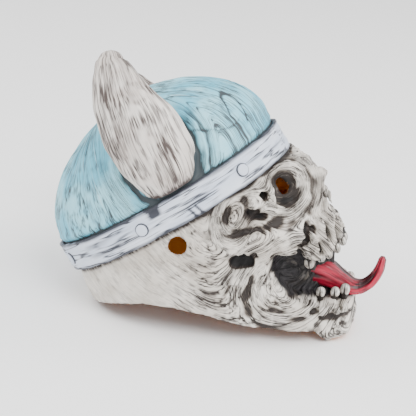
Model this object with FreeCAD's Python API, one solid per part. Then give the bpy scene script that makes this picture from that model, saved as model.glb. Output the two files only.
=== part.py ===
"""Horned skull mask in cast latex: helmet, skull skin, jaw, teeth, tongue and horns as separate pieces.

The mask stands on its chin and the rim at its nape. Z is up, the face looks along -Y, and the origin
lies on the ground under the middle of the whole mask. Lengths are millimetres. Places are given as
(half width, forward, height) with the head held level; the stance then leans it back onto its nape.
"""
import FreeCAD, Part
import math
import os

V = FreeCAD.Vector

# ---- driving dimensions -------------------------------------------------------------------------
STANCE = 5.2                # degrees that the level head leans back, about its chin
CHIN_FOOT = 124.6           # forward distance of the chin's foot, where the lean turns
LAYOUT_X = -2.0             # X of the middle plane; the left horn stands out further than the right
LAYOUT_Y = 4.6              # Y of the forward origin, so that the bounding box is centred
GROUND_DEPTH = 150.0        # size of the tools that cut below the mask
WIDE = 160.0                # half width of the tools that cut right across the mask

HELMET_TILT = 31.5          # degrees that the brow band rises towards the face
HELMET_FORWARD = -27.0      # band centre
HELMET_Z = 107.2            # band centre
BAND_HALF_WIDTH = 103.5     # outside of the band, across
BAND_HALF_LENGTH = 119.5    # outside of the band, fore and aft
BAND_HEIGHT = 26.5
BAND_WALL = 4.1
TUCK_GAP = 0.4              # glue line between the band and the skins tucked in behind it
DOME_WALL = 3.0
# Rings of the dome: height over the band's top, back end, front end, half width
DOME_RINGS = [
    (-6.5, -114.6, 114.6, 98.6),
    (2.0, -114.6, 114.6, 98.6),
    (20.0, -110.0, 116.0, 97.5),
    (40.0, -96.0, 110.0, 91.0),
    (58.0, -75.0, 95.0, 78.0),
    (73.0, -48.0, 73.0, 58.0),
    (82.0, -21.0, 49.0, 34.0),
    (86.0, 2.0, 28.0, 12.0),
]
RIVET_TURNS = [37.0, -37.0, 88.5, -88.5, 140.0, -140.0, 180.0]     # degrees round from the brow
RIVET_R = 5.4
RIVET_PROUD = 2.6
SKIN = 3.0                  # wall of the cast skull and jaw skins
OVERRUN = 9.0               # the inside form runs past the outside form's ends by this
CHIN_PLATE = 3.0            # thickness of the skin under the chin
CHIN_PLATE_FROM = 108.0     # the chin is closed underneath from here forward
EAR_HOLE = (105.0, -2.0)    # height and forward distance
EAR_HOLE_R = 8.0
EYE_HOLE_R = 10.0
HORN_WALL = 2.5
GLUE = 0.35                 # glue line round glued-in pieces: horn cores, collars, rivets, front teeth
COLLAR_R = 40.0             # the collar's ball, about the horn's root
HORN_SLIP = 0.7             # free rubber between the collar and the moving horn
HORN_CLEAR = 3.8            # room beside the dome for the horn to bend
TONGUE_GAP = 3.2            # free rubber between the tongue's pieces, where it bends

# Slices of the head square to the band's axis, from behind the band down to the chin. Each is drawn by
# the corners of a smooth closed curve, (half width, forward), from the front round to the nape.
SLICES = [
    (22, [(0, 115), (32, 112.5), (64, 94), (91, 52), (99.5, 0), (92, -54), (62, -98), (0, -119)]),
    (0, [(0, 115), (32, 112.5), (64, 94), (91, 52), (99.5, 0), (92, -54), (62, -98), (0, -119)]),
    (-14, [(0, 127), (26, 124), (62, 101), (92, 60), (99.5, 0), (92, -58), (62, -102), (0, -122)]),
    (-28, [(0, 133), (18, 127), (58, 102), (92, 66), (98, 0), (92, -62), (60, -104), (0, -125)]),
    (-48, [(0, 137), (15, 124), (48, 104), (92, 82), (93, 2), (88, -66), (58, -108), (0, -122)]),
    (-77, [(0, 127), (20, 121), (42, 107), (78, 76), (87, 2), (82, -58), (52, -98), (0, -111)]),
    (-107, [(0, 123), (28, 117), (42, 98), (66, 62), (77, 2), (74, -48), (46, -84), (0, -98)]),
    (-142, [(0, 112), (27, 107), (42, 84), (58, 50), (65, 2), (60, -42), (38, -66), (0, -78)]),
    (-184, [(0, 94), (22, 90), (32, 68), (44, 44), (50, 4), (46, -28), (30, -48), (0, -56)]),
]

# Side outlines, (forward, height), cut right through the skins.
MOUTH_AND_JAW = [(46, 92), (72, 92), (96, 93), (101, 80), (120, 78), (185, 78), (185, -30), (33, -30), (33, 12)]
JAW_OUTLINE = [(50, 88), (69, 88), (71, 76), (79, 56), (92, 45), (112, 41), (185, 37), (185, -30), (46, -30),
               (46, 16)]
LIP_DIP = (14.0, 118.0, 31.0)                    # half width, back end and height of the dip in the lip
RIM_ARCH = [(-114, 17), (-38, 42), (48, 25)]     # arc cut up each side, from the nape to the jaw's corner
RIM_CHIN = (115, 14)                             # the rim runs on to here, then drops to the chin

# Teeth of one side: (half width, forward, height) of the root, length, radius, lean forward
UPPER_TEETH = [
    ((29.0, 101.0, 81.0), 12.0, 4.3, 0.05),
    ((25.5, 110.5, 83.0), 11.0, 4.1, 0.10),
    ((20.5, 118.0, 86.0), 13.0, 3.6, 0.20),
    ((13.0, 123.5, 89.0), 15.0, 3.4, 0.28),
    ((4.6, 127.0, 91.0), 14.0, 3.6, 0.30),
]
LOWER_TEETH = [
    ((27.0, 113.5, 38.0), 11.5, 4.3, 0.05),
    ((22.0, 124.5, 36.5), 11.0, 4.2, 0.05),
    ((15.6, 131.5, 36.0), 11.0, 3.9, 0.10),
]

# Tongue stations: (forward, height), half width, half thickness
TONGUE = [
    ((80, 63.5), 18.0, 8.0),
    ((94, 61.5), 19.0, 10.5),
    ((112, 56), 15.5, 10.0),
    ((128, 47.5), 10.5, 8.0),
    ((140, 43.5), 10.0, 7.0),
    ((150, 45), 8.5, 6.2),
    ((158, 52), 7.2, 5.6),
    ((163, 62), 6.0, 5.0),
    ((165, 71), 4.6, 4.0),
]
NOD_AT = 4                  # the tongue bends up and down just past this station
SWAY_AT = 5                 # and swings sideways just past this one

# Horn stations, (half width, forward, height), radius
HORN = [
    ((76, -17, 162), 28.0),
    ((89, -22, 184), 33.0),
    ((95, -35, 209), 32.5),
    ((90, -52, 234), 24.5),
    ((77, -64, 254), 14.0),
]
HORN_TIP_R = 10.0
HORN_TIP_STEP = 5.0         # the round tip's centre lies past the last station
HORN_ROOT = (80.0, -18.0, 166.0)
HORN_STANDS = 5.2           # clearance of the horn over the band's top
# The left horn has flopped out and back: turns about the level head's axes, then a shift
LEFT_TURNS = [((1, 0, 0), 43.0), ((0, 1, 0), 42.0), ((0, 0, 1), -44.0)]
LEFT_SHIFT = (-6.0, -14.0, -13.0)
LEFT_SLIM = 0.92            # the left horn's radii against the right's


def at(x, forward, z):
    """A point of the level head, carried into its stance."""
    lean = math.radians(STANCE)
    reach = forward - CHIN_FOOT
    leaned = CHIN_FOOT + reach * math.cos(lean) - z * math.sin(lean)
    return V(LAYOUT_X + x, LAYOUT_Y - leaned, z * math.cos(lean) + reach * math.sin(lean))


def helmet_point(x, along, up):
    """A point in the helmet's tilted frame: across, towards the brow, and square to the band."""
    tilt = math.radians(HELMET_TILT)
    forward = HELMET_FORWARD + along * math.cos(tilt) - up * math.sin(tilt)
    return at(x, forward, HELMET_Z + along * math.sin(tilt) + up * math.cos(tilt))


def in_helmet(shape):
    """Carries a shape made with the band flat, its front along -Y, into its tilted place."""
    turn = FreeCAD.Rotation(V(1, 0, 0), -HELMET_TILT - STANCE)
    shape.Placement = FreeCAD.Placement(helmet_point(0, 0, 0), turn).multiply(shape.Placement)
    return shape


def save(shape, node):
    """Writes one sub-part."""
    if not shape.isValid() or shape.Volume <= 0:
        raise RuntimeError(f"{node} is not a valid solid")
    shape.exportStep(f"parts/{node}.step")
    print(f"{node:24s} {shape.Volume / 1000:8.2f} cm3, {len(shape.Solids)} solid")


def only_solid(shape):
    """The largest solid of a boolean's result, as a plain solid."""
    return max(shape.Solids, key=lambda s: s.Volume)


def ellipse_wire(half_x, back, front, height):
    """A level elliptic ring from its back end to its front end, the front along -Y."""
    half_y = (front - back) / 2
    curve = Part.Ellipse(V(0, 0, 0), max(half_x, half_y), min(half_x, half_y))
    wire = Part.Wire(curve.toShape())
    if half_y > half_x:
        wire.rotate(V(0, 0, 0), V(0, 0, 1), 90)
    wire.translate(V(0, -(front + back) / 2, height))
    return wire


def elliptic_disc(half_x, half_y, low, high):
    """An upright elliptic cylinder between two heights."""
    return Part.Face(ellipse_wire(half_x, -half_y, half_y, low)).extrude(V(0, 0, high - low))


def side_prism(outline):
    """A prism right across the mask, from a side outline of (forward, height) points."""
    points = [at(-WIDE, *p) for p in outline]
    return Part.Face(Part.makePolygon(points + points[:1])).extrude(V(2 * WIDE, 0, 0))


def slice_outline(height, half, inset):
    """One closed slice of the head in the helmet's frame, moved inwards by inset."""
    corners = half + [(-x, along) for x, along in reversed(half[1:-1])]
    poles = []
    for i, (x, along) in enumerate(corners):
        before, after = corners[i - 1], corners[(i + 1) % len(corners)]
        dx, da = after[0] - before[0], after[1] - before[1]
        size = math.hypot(dx, da)
        poles.append(helmet_point(x + inset * da / size, along - inset * dx / size, height))
    curve = Part.BSplineCurve()
    curve.buildFromPoles(poles, True, 3)
    return Part.Wire(curve.toShape())


def head_form(inset=0.0, overrun=0.0):
    """The closed form of the whole head, band to chin. The inside is inset and overruns both ends."""
    heights = [height for height, _ in SLICES]
    heights[0] += overrun
    heights[-1] -= overrun
    outlines = [slice_outline(height, half, inset) for height, (_, half) in zip(heights, SLICES)]
    return Part.makeLoft(outlines, True, False)


def rim_cutter():
    """Everything under the mask: the ground, the arch cut up each side, and the run to the chin."""
    nape, crown, corner = RIM_ARCH
    deep = -GROUND_DEPTH
    ground = Part.makeBox(2 * WIDE, 4 * WIDE, GROUND_DEPTH, V(-WIDE, -2 * WIDE, deep))
    chin_run = [(corner[0] - 1, deep), corner, RIM_CHIN, (RIM_CHIN[0] + 3, 0), (RIM_CHIN[0] + 3, deep)]
    start, end = at(-WIDE, *nape), at(-WIDE, *corner)
    low_start, low_end = at(-WIDE, nape[0], deep), at(-WIDE, corner[0], deep)
    arch = Part.Wire([Part.Arc(start, at(-WIDE, *crown), end).toShape(), Part.makeLine(end, low_end),
                      Part.makeLine(low_end, low_start), Part.makeLine(low_start, start)])
    return ground.fuse(side_prism(chin_run)).fuse(Part.Face(arch).extrude(V(2 * WIDE, 0, 0)))


def tuck_cutter():
    """The band's own room and all above the dome's edge, which the skin is tucked clear of."""
    edge = BAND_HEIGHT + DOME_RINGS[0][0] - TUCK_GAP
    spare = BAND_WALL + TUCK_GAP
    inside = elliptic_disc(BAND_HALF_WIDTH - spare, BAND_HALF_LENGTH - spare, -2 * TUCK_GAP, edge)
    above = Part.makeCylinder(WIDE, WIDE, V(0, 0, -TUCK_GAP))
    return in_helmet(above.cut(inside))


def head_shell():
    """Skull and jaw skins in one, open at the crown and at the neck, closed under the chin."""
    solid = head_form().cut(rim_cutter())
    front, low = CHIN_PLATE_FROM, -GROUND_DEPTH
    plate = solid.common(side_prism([(front, low), (220, low), (220, CHIN_PLATE), (front, CHIN_PLATE)]))
    return solid.cut(head_form(SKIN, OVERRUN)).fuse(plate)


def eye_hole(side):
    """The look-through hole at the bottom of one eye socket."""
    start = at(side * 20, 61, 143)
    return Part.makeCylinder(EYE_HOLE_R, 70, start, at(side * 45, 104, 150.5) - start)


def ear_hole(side):
    """The round hole beside the ear."""
    height, forward = EAR_HOLE
    return Part.makeCylinder(EAR_HOLE_R, 60, at(side * 60, forward, height), V(side, 0, 0))


def skull_skin(shell):
    """The skull, with its holes and the sockets that its front teeth are glued into."""
    skin = shell.cut(side_prism(MOUTH_AND_JAW)).cut(tuck_cutter())
    for side in (-1, 1):
        skin = skin.cut(eye_hole(side)).cut(ear_hole(side))
        for root, length, radius, lean in UPPER_TEETH[2:]:
            skin = skin.cut(tooth(root, length + GLUE, radius + GLUE, lean, side, -1))
    return only_solid(skin)


def jaw_skin(shell):
    """The jaw, with the dip in its lip that the tongue lies over."""
    half_width, back, low = LIP_DIP
    dip = side_prism([(back, low), (185, low), (185, 60), (back, 60)])
    middle = Part.makeBox(2 * half_width, 3 * WIDE, 2 * WIDE, V(LAYOUT_X - half_width, -2 * WIDE, 0))
    return only_solid(shell.common(side_prism(JAW_OUTLINE)).cut(dip.common(middle)))


def dome_form(inset):
    """The crown of the helmet as a closed form, tucked in behind the band."""
    rings = []
    for rise, back, front, half_width in DOME_RINGS:
        lift = -inset if rise == DOME_RINGS[0][0] else -inset * rise / DOME_RINGS[-1][0]
        rings.append(ellipse_wire(half_width - inset, back + inset, front - inset, BAND_HEIGHT + rise + lift))
    return in_helmet(Part.makeLoft(rings, True, False))


def helmet_band():
    ring = elliptic_disc(BAND_HALF_WIDTH, BAND_HALF_LENGTH, 0, BAND_HEIGHT)
    hole = elliptic_disc(BAND_HALF_WIDTH - BAND_WALL, BAND_HALF_LENGTH - BAND_WALL, -1, BAND_HEIGHT + 1)
    return in_helmet(ring.cut(hole))


def band_rivet(degrees):
    """One domed rivet head, standing on the outside of the band at mid height."""
    turn = math.radians(degrees)
    x, y = BAND_HALF_WIDTH * math.sin(turn), -BAND_HALF_LENGTH * math.cos(turn)
    out = V(x / BAND_HALF_WIDTH ** 2, y / BAND_HALF_LENGTH ** 2, 0).normalize()
    foot = V(x, y, BAND_HEIGHT / 2)
    ball_r = (RIVET_R ** 2 + RIVET_PROUD ** 2) / (2 * RIVET_PROUD)
    cap = Part.makeSphere(ball_r, foot + out * (RIVET_PROUD - ball_r))
    head = cap.common(Part.makeCylinder(RIVET_R + 1, 2 * RIVET_PROUD, foot + out * GLUE, out))
    return in_helmet(only_solid(head))


def horn_place(place, side):
    """Where a point of the horn lies on one side of the head."""
    if side < 0:
        return at(-place[0], place[1], place[2])
    turn = FreeCAD.Rotation()
    for axis, degrees in LEFT_TURNS:
        turn = turn.multiply(FreeCAD.Rotation(V(*axis), degrees))
    root = V(*HORN_ROOT)
    return at(*(root + turn.multVec(V(*place) - root) + V(*LEFT_SHIFT)))


def tapered_horn(inset, side):
    """A curved cone through the horn's stations with a round tip, inset for the inside."""
    slim = LEFT_SLIM if side > 0 else 1.0
    centres = [horn_place(place, side) for place, _ in HORN]
    rings = []
    for i, centre in enumerate(centres):
        along = centres[min(i + 1, len(centres) - 1)] - centres[max(i - 1, 0)]
        rings.append(Part.Wire(Part.makeCircle(HORN[i][1] * slim - inset, centre, along)))
    onward = (centres[-1] - centres[-2]).normalize()
    tip_centre = centres[-1] + onward * HORN_TIP_STEP
    neck = Part.Wire(Part.makeCircle(HORN_TIP_R * slim - inset, tip_centre, onward))
    tip = Part.makeSphere(HORN_TIP_R * slim - inset, tip_centre)
    return Part.makeLoft(rings, True, False).fuse(Part.makeLoft([rings[-1], neck], True, True)).fuse(tip)


def horn_pieces(side):
    """The horn's cast skin, its foam core, and the collar that joins it to the dome."""
    low = V(-WIDE, -WIDE, BAND_HEIGHT + HORN_STANDS - GROUND_DEPTH)
    band = in_helmet(Part.makeBox(2 * WIDE, 2 * WIDE, GROUND_DEPTH, low))
    root = horn_place(HORN_ROOT, side)
    bend_room = [band, dome_form(-HORN_CLEAR), Part.makeSphere(COLLAR_R + HORN_SLIP, root)]
    outside = tapered_horn(0.0, side)
    skin = only_solid(outside.cut(bend_room).cut(tapered_horn(HORN_WALL, side)))
    core = only_solid(tapered_horn(HORN_WALL + GLUE, side).cut(bend_room))
    ball = Part.makeSphere(COLLAR_R, root)
    collar = only_solid(outside.common(ball).cut([band, dome_form(-GLUE)]))
    return skin, core, collar


def tooth(root, length, radius, lean, side, up):
    """A peg tooth: a cone frustum from its root with a round end."""
    start = at(side * root[0], root[1], root[2])
    direction = (at(0, lean, up) - at(0, 0, 0)).normalize()
    end = start + direction * (length - radius * 0.85)
    peg = Part.makeCone(radius * 0.85, radius, (end - start).Length, start, direction)
    return only_solid(peg.fuse(Part.makeSphere(radius, end)))


def tongue_piece(first, last, start_gap, end_gap):
    """The tongue from one station to another, its ends held back by the gaps."""
    centres = [at(0, *place) for place, _, _ in TONGUE]
    wires = []
    for i in range(first, last + 1):
        along = (centres[min(i + 1, len(centres) - 1)] - centres[max(i - 1, 0)]).normalize()
        centre = centres[i]
        if i == first:
            centre = centre + along * start_gap
        if i == last:
            centre = centre - along * end_gap
        _, half_width, half_thick = TONGUE[i]
        wire = Part.Wire(Part.Ellipse(V(0, 0, 0), half_width, half_thick).toShape())
        upward = V(1, 0, 0).cross(along)
        wire.Placement = FreeCAD.Placement(centre, FreeCAD.Rotation(V(1, 0, 0), upward, along, "XYZ"))
        wires.append(wire)
    return Part.makeLoft(wires, True, False)


def mouth_lining():
    """The black bag behind the mouth: half an egg, open to the front."""
    bags = []
    for half_x, half_y, half_z in ((43, 36, 28), (41, 34, 26)):
        scale = FreeCAD.Matrix()
        scale.scale(half_x, half_y, half_z)
        bag = Part.makeSphere(1.0).transformGeometry(scale)
        bag.translate(at(0, 100, 64))
        bags.append(bag)
    return only_solid(bags[0].cut(bags[1]).cut(side_prism([(95, -50), (200, -50), (200, 200), (95, 200)])))


def main():
    os.makedirs("parts", exist_ok=True)
    shell = head_shell()
    save(skull_skin(shell), "skull_skin")
    save(jaw_skin(shell), "jaw_skin")
    save(only_solid(dome_form(0.0).cut(dome_form(DOME_WALL))), "helmet_dome")
    save(helmet_band(), "helmet_band")
    for index, degrees in enumerate(RIVET_TURNS):
        save(band_rivet(degrees), f"band_rivet_{index + 1}")
    for name, side in (("right", -1), ("left", 1)):
        skin, core, collar = horn_pieces(side)
        save(skin, f"horn_{name}")
        save(core, f"horn_core_{name}")
        save(collar, f"horn_collar_{name}")
        for index, (root, length, radius, lean) in enumerate(UPPER_TEETH):
            save(tooth(root, length, radius, lean, side, -1), f"upper_tooth_{name}_{index + 1}")
        for index, (root, length, radius, lean) in enumerate(LOWER_TEETH):
            save(tooth(root, length, radius, lean, side, 1), f"lower_tooth_{name}_{index + 1}")
    half_gap = TONGUE_GAP / 2
    save(tongue_piece(0, NOD_AT, 0.0, half_gap), "tongue_root")
    save(tongue_piece(NOD_AT, SWAY_AT, half_gap, half_gap), "tongue_middle")
    save(tongue_piece(SWAY_AT, len(TONGUE) - 1, half_gap, 0.0), "tongue_tip")
    save(mouth_lining(), "mouth_lining")


main()
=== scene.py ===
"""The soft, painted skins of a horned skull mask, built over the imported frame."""
import math

import bmesh
import bpy
import numpy as np
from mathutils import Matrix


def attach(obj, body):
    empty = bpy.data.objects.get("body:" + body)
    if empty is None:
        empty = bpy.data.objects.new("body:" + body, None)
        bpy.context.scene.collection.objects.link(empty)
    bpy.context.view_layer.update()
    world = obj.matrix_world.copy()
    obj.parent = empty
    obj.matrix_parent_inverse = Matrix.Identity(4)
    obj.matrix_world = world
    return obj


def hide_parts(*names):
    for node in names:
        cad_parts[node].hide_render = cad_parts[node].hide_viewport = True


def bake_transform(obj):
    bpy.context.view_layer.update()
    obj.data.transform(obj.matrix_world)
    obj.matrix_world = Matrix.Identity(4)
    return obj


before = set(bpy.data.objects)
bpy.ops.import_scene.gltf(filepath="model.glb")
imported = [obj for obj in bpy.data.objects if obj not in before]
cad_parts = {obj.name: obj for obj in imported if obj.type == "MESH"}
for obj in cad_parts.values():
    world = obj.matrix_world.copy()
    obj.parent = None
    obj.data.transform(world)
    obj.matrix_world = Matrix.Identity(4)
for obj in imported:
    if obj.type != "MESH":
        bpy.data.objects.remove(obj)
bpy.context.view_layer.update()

import openvdb
from bpy.props import BoolProperty, FloatProperty, FloatVectorProperty, IntProperty, PointerProperty
from mathutils import Matrix, Vector

bl_info = {
    "name": "Horned Skull Mask",
    "version": (1, 0, 0),
    "blender": (4, 5, 0),
    "location": "View3D > Sidebar > Mask",
    "description": "Builds the painted latex skins, teeth, tongue, horns and stage of a horned skull mask",
    "category": "Object",
}

# ---- layout, in millimetres, with the head held level: (half width, forward, height) --------------
STANCE = math.radians(5.2)
CHIN_FOOT = 124.6
LAYOUT = (-2.0, 4.6)
HELMET = (-27.0, 107.2, math.radians(31.5))
BAND = (103.5, 119.5, 26.5)
BAND_WALL = 4.1
RIVET_TURNS = (37.0, -37.0, 88.5, -88.5, 140.0, -140.0, 180.0)
RIVET_R = 5.4
RIM_FLAT = 17.0
SLICES = [
    (22, [(0, 115), (32, 112.5), (64, 94), (91, 52), (99.5, 0), (92, -54), (62, -98), (0, -119)]),
    (0, [(0, 115), (32, 112.5), (64, 94), (91, 52), (99.5, 0), (92, -54), (62, -98), (0, -119)]),
    (-14, [(0, 127), (26, 124), (62, 101), (92, 60), (99.5, 0), (92, -58), (62, -102), (0, -122)]),
    (-28, [(0, 133), (18, 127), (58, 102), (92, 66), (98, 0), (92, -62), (60, -104), (0, -125)]),
    (-48, [(0, 137), (15, 124), (48, 104), (92, 82), (93, 2), (88, -66), (58, -108), (0, -122)]),
    (-77, [(0, 127), (20, 121), (42, 107), (78, 76), (87, 2), (82, -58), (52, -98), (0, -111)]),
    (-107, [(0, 123), (28, 117), (42, 98), (66, 62), (77, 2), (74, -48), (46, -84), (0, -98)]),
    (-142, [(0, 112), (27, 107), (42, 84), (58, 50), (65, 2), (60, -42), (38, -66), (0, -78)]),
    (-184, [(0, 94), (22, 90), (32, 68), (44, 44), (50, 4), (46, -28), (30, -48), (0, -56)]),
]
MOUTH = [(71, 91), (72, 76), (78, 59), (88, 48), (104, 42), (118, 38), (190, 34), (190, 98), (133, 98),
         (126, 91), (120, 84), (111, 82), (103, 84), (97, 92), (86, 93)]
JAW_BEND = ((0, 45, 59.5), (0, 75, 32))
SKIN_WALL = 3.0
CHIN_FRONT = 141.5
EYE_HOLE = (29.5, 77.5, 145.5)
EYE_AXIS = (0.5, 0.85, 0.15)
EYE_HOLE_R = 7.2
EAR_HOLE = (-2.0, 105.0)
EAR_HOLE_R = 8.2
# Height of the lower rim at places from the nape to the chin
RIM = [(-130, RIM_FLAT), (-114, RIM_FLAT), (-90, 27.5), (-64, 37), (-38, 42), (-10, 41.5), (20, 35),
       (48, 25), (80, 18), (108, 14.5), (115, 10), (119, 5)]
CORE = ([66, 80, 100, 116, 126], [40, 33, 20, 8, -6])
DOME_RINGS = [(0.0147, -114.6, 114.6, 98.6), (0.148, -110.0, 116.0, 97.5), (0.305, -96.0, 110.0, 91.0),
              (0.465, -75.0, 95.0, 78.0), (0.635, -48.0, 73.0, 58.0), (0.79, -21.0, 49.0, 34.0),
              (0.91, 2.0, 28.0, 12.0), (1.0, 15.0, 15.0, 0.0)]
DOME_RISE = 86.8
DOME_WALL = 3.0
DOME_TUCK = 6.5
HORN = [((78, -18, 165), 27.0), ((89, -22, 184), 33.0), ((95, -35, 209), 32.5), ((90, -52, 234), 24.5),
        ((77, -64, 254), 14.5), ((73.5, -66, 258.5), 10.5)]
HORN_ROOT = (80.0, -18.0, 166.0)
LEFT_TURNS = (("X", 43.0), ("Y", 42.0), ("Z", -44.0))
LEFT_SHIFT = (-6.0, -14.0, -13.0)
LEFT_SLIM = 0.92
TONGUE = [((80, 60), 20.0, 12.0), ((94, 59), 20.0, 14.0), ((112, 56), 17.0, 13.5), ((128, 49), 12.5, 9.6),
          ((140, 44), 10.5, 7.2), ((150, 45), 8.5, 6.2), ((158, 52), 7.2, 5.6), ((163, 62), 6.0, 5.0),
          ((165.5, 72), 4.4, 3.8)]
TONGUE_SPLIT = 4.5
UPPER_TEETH = [((31.0, 103.0, 84.5), 14.0, 4.7, 0.05), ((27.0, 112.0, 89.5), 14.0, 4.5, 0.10),
               ((20.5, 117.0, 91.0), 14.0, 3.6, 0.20), ((13.0, 122.0, 95.0), 15.0, 3.4, 0.28),
               ((4.6, 126.0, 98.0), 13.5, 3.6, 0.30)]
LOWER_TEETH = [((27.0, 113.5, 37.5), 14.0, 4.6, 0.05), ((22.0, 126.0, 37.0), 13.5, 4.6, 0.05),
               ((15.0, 133.5, 36.5), 13.5, 4.3, 0.10)]

# Forms raised from and carved into the skull: start, end, start and end radius, softness, relief.
# They settle on the plain head first; relief is how far they then stand out or cut in. Without a
# relief they stay where they are given.
RAISED = [
    ((6, 92, 163), (40, 84, 165), 7.0, 6.0, 5.0, 3.0),            # brow
    ((40, 84, 165), (56, 66, 158), 6.0, 5.0, 5.0, 3.0),
    ((16, 79, 163), (37, 71, 160), 4.5, 4.5, 3.0, 3.5),           # rim of the socket
    ((37, 71, 160), (53, 70, 149), 4.5, 5.0, 3.0, 4.0),
    ((53, 70, 149), (52, 74, 141), 5.0, 4.5, 3.0, 4.5),
    ((52, 74, 141), (42, 90, 126), 4.5, 5.5, 3.0, 5.5),
    ((42, 90, 126), (24, 96, 135), 5.5, 5.0, 3.0, 4.0),
    ((24, 96, 135), (18, 94, 148), 5.0, 4.5, 3.0, 4.0),
    ((18, 94, 148), (14, 90, 158), 4.5, 4.5, 3.0, 3.5),
    ((67, 59, 140), (66, 61, 141), 8.0, 7.5, 3.0, 6.0),           # knob behind the socket
    ((67, 59, 140), (58, 74, 134), 5.0, 4.5, 4.0, 3.0),
    ((75, 36, 148), (81, 32, 136), 4.0, 4.0, 4.0, 2.5),           # ridges round the temple
    ((81, 32, 136), (80, 46, 122), 4.0, 5.0, 4.0, 2.5),
    ((78, 46, 134), (80, 45, 130), 4.5, 4.5, 3.0, 2.5),
    ((36, 99, 116), (46, 95, 108), 8.0, 9.0, 4.0, 4.5),           # cheekbone and arch
    ((46, 95, 108), (61, 85, 106), 9.0, 10.0, 4.0, 5.0),
    ((61, 85, 106), (78, 69, 107), 10.0, 10.0, 4.0, 5.0),
    ((78, 69, 107), (90, 36, 106), 10.0, 9.0, 4.0, 4.0),
    ((90, 36, 106), (94, 10, 102), 9.0, 6.0, 6.0, 2.5),
    ((2, 97, 150), (2, 107, 151), 7.5, 4.0, 3.0, None),           # nose plate
    ((2, 107, 151), (1, 103.5, 134), 4.2, 3.4, 2.5, None),
    ((11, 108, 131), (11, 112, 126), 3.6, 3.6, 2.0, 4.5),         # rims of the nose opening
    ((11, 112, 126), (8, 116, 112), 3.6, 3.4, 2.0, 3.0),
    ((4, 121, 106), (9, 128, 86), 4.0, 3.4, 2.0, 5.0),            # root struts of the upper jaw
    ((14, 117, 108), (20, 123, 86), 4.2, 3.4, 2.0, 5.0),
    ((24, 111, 109), (29, 117, 86), 4.4, 3.8, 2.0, 5.0),
    ((38, 104, 104), (39, 109, 86), 4.6, 4.0, 2.0, 5.0),
    ((76, 71, 94), (72, 73, 77), 4.0, 4.5, 3.0, 4.5),             # strands of the ramus
    ((72, 73, 77), (68, 74, 50), 4.5, 6.0, 4.0, 4.5),
    ((70, 66, 60), (66, 66, 36), 7.0, 7.0, 5.0, 3.5),
    ((68, 62, 32), (60, 83, 27), 6.5, 6.0, 5.0, 2.5),             # edge of the jaw
    ((60, 83, 27), (48, 107, 20), 6.0, 6.0, 4.0, 2.5),
    ((65, 80, 58), (57, 91, 38), 3.6, 4.0, 3.0, 3.0),             # folds round the mouth's corner
    ((57, 91, 38), (46, 108, 30), 4.0, 4.0, 3.0, 3.0),
    ((44, 112, 45), (35, 126, 41), 5.5, 5.5, 3.0, 2.5),           # gum ridge
    ((35, 126, 41), (20, 139, 39), 5.5, 5.0, 3.0, 2.5),
    ((42, 117, 39), (41, 118, 33), 4.6, 3.6, 2.0, 4.0),           # root bulges
    ((34, 128, 37), (33, 129, 31), 4.6, 3.6, 2.0, 4.0),
    ((24, 137, 36), (24, 138, 30), 4.6, 3.6, 2.0, 4.0),
    ((0, 141, 13), (20, 138, 11), 8.0, 8.0, 4.0, 2.0),            # chin
    ((20, 138, 11), (36, 122, 9), 8.0, 7.0, 4.0, 3.0),
    ((26, 119, 5), (20, 124, 7), 6.0, 7.0, 3.0, None),            # heel of the chin
]
CARVED = [
    ((36, 84, 154), (41, 89, 141), 14.0, 14.0, 3.0, None),        # socket
    ((44, 78, 156), (46, 81, 142), 9.0, 9.0, 4.0, None),
    ((59, 65, 146), (56, 66, 150), 4.5, 3.8, 2.0, 5.5),           # pockets behind the rim
    ((71, 60, 132), (66, 66, 129), 5.0, 4.5, 2.5, 6.5),
    ((56, 80, 122), (72, 66, 119), 4.0, 4.0, 3.0, 3.5),           # groove over the cheekbone
    ((72, 66, 119), (84, 46, 117), 4.0, 4.0, 3.0, 3.0),
    ((82, 40, 138), (84, 38, 128), 4.0, 4.0, 3.0, 3.0),           # whorl of the temple
    ((72, 52, 146), (74, 56, 126), 3.6, 3.6, 3.0, 3.0),
    ((60, 52, 157), (78, 26, 150), 4.0, 4.0, 4.0, 2.5),
    ((0, 113, 127), (0, 119, 114), 8.0, 6.0, 2.0, None),          # nose opening
    ((6, 109, 130), (5, 114, 116), 4.2, 4.2, 1.5, None),
    ((37, 101, 112), (40, 102, 102), 4.5, 5.5, 2.0, 8.0),         # hollow beside the upper jaw
    ((46, 98, 100), (48, 98, 92), 4.5, 5.0, 2.0, 9.0),
    ((9, 119, 108), (15, 126, 88), 2.6, 3.0, 1.2, 7.0),           # gaps between the struts
    ((19, 114, 108), (24, 120, 87), 2.6, 3.2, 1.2, 7.0),
    ((31, 107, 108), (34, 113, 87), 2.8, 3.4, 1.2, 7.0),
    ((0, 122, 103), (0, 129, 88), 2.0, 2.4, 1.2, 5.0),
    ((86, 50, 91), (82, 60, 90), 7.5, 6.5, 2.5, 9.0),             # recess behind the ramus, painted dark with shade where a hole would be
    ((81, 63, 97), (64, 84, 93), 2.6, 3.0, 1.5, 3.0),             # shadow under the arch
    ((92, 30, 93), (87, 47, 96), 2.4, 3.0, 3.0, 2.0),
    ((79, 60, 76), (76, 56, 56), 3.6, 3.0, 4.0, 1.8),
    ((46, 111, 33), (37, 125, 33), 2.8, 2.8, 2.0, 3.5),           # fold over the chin
    ((41, 117, 27), (33, 129, 25), 3.2, 3.2, 2.5, 4.0),
    ((33, 129, 25), (18, 141, 25), 3.2, 3.0, 2.5, 3.5),
    ((38, 122, 39), (38, 123, 31), 1.8, 1.8, 1.2, 4.0),           # between the root bulges
    ((29, 132, 38), (29, 133, 30), 1.8, 1.8, 1.2, 4.0),
]
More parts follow.
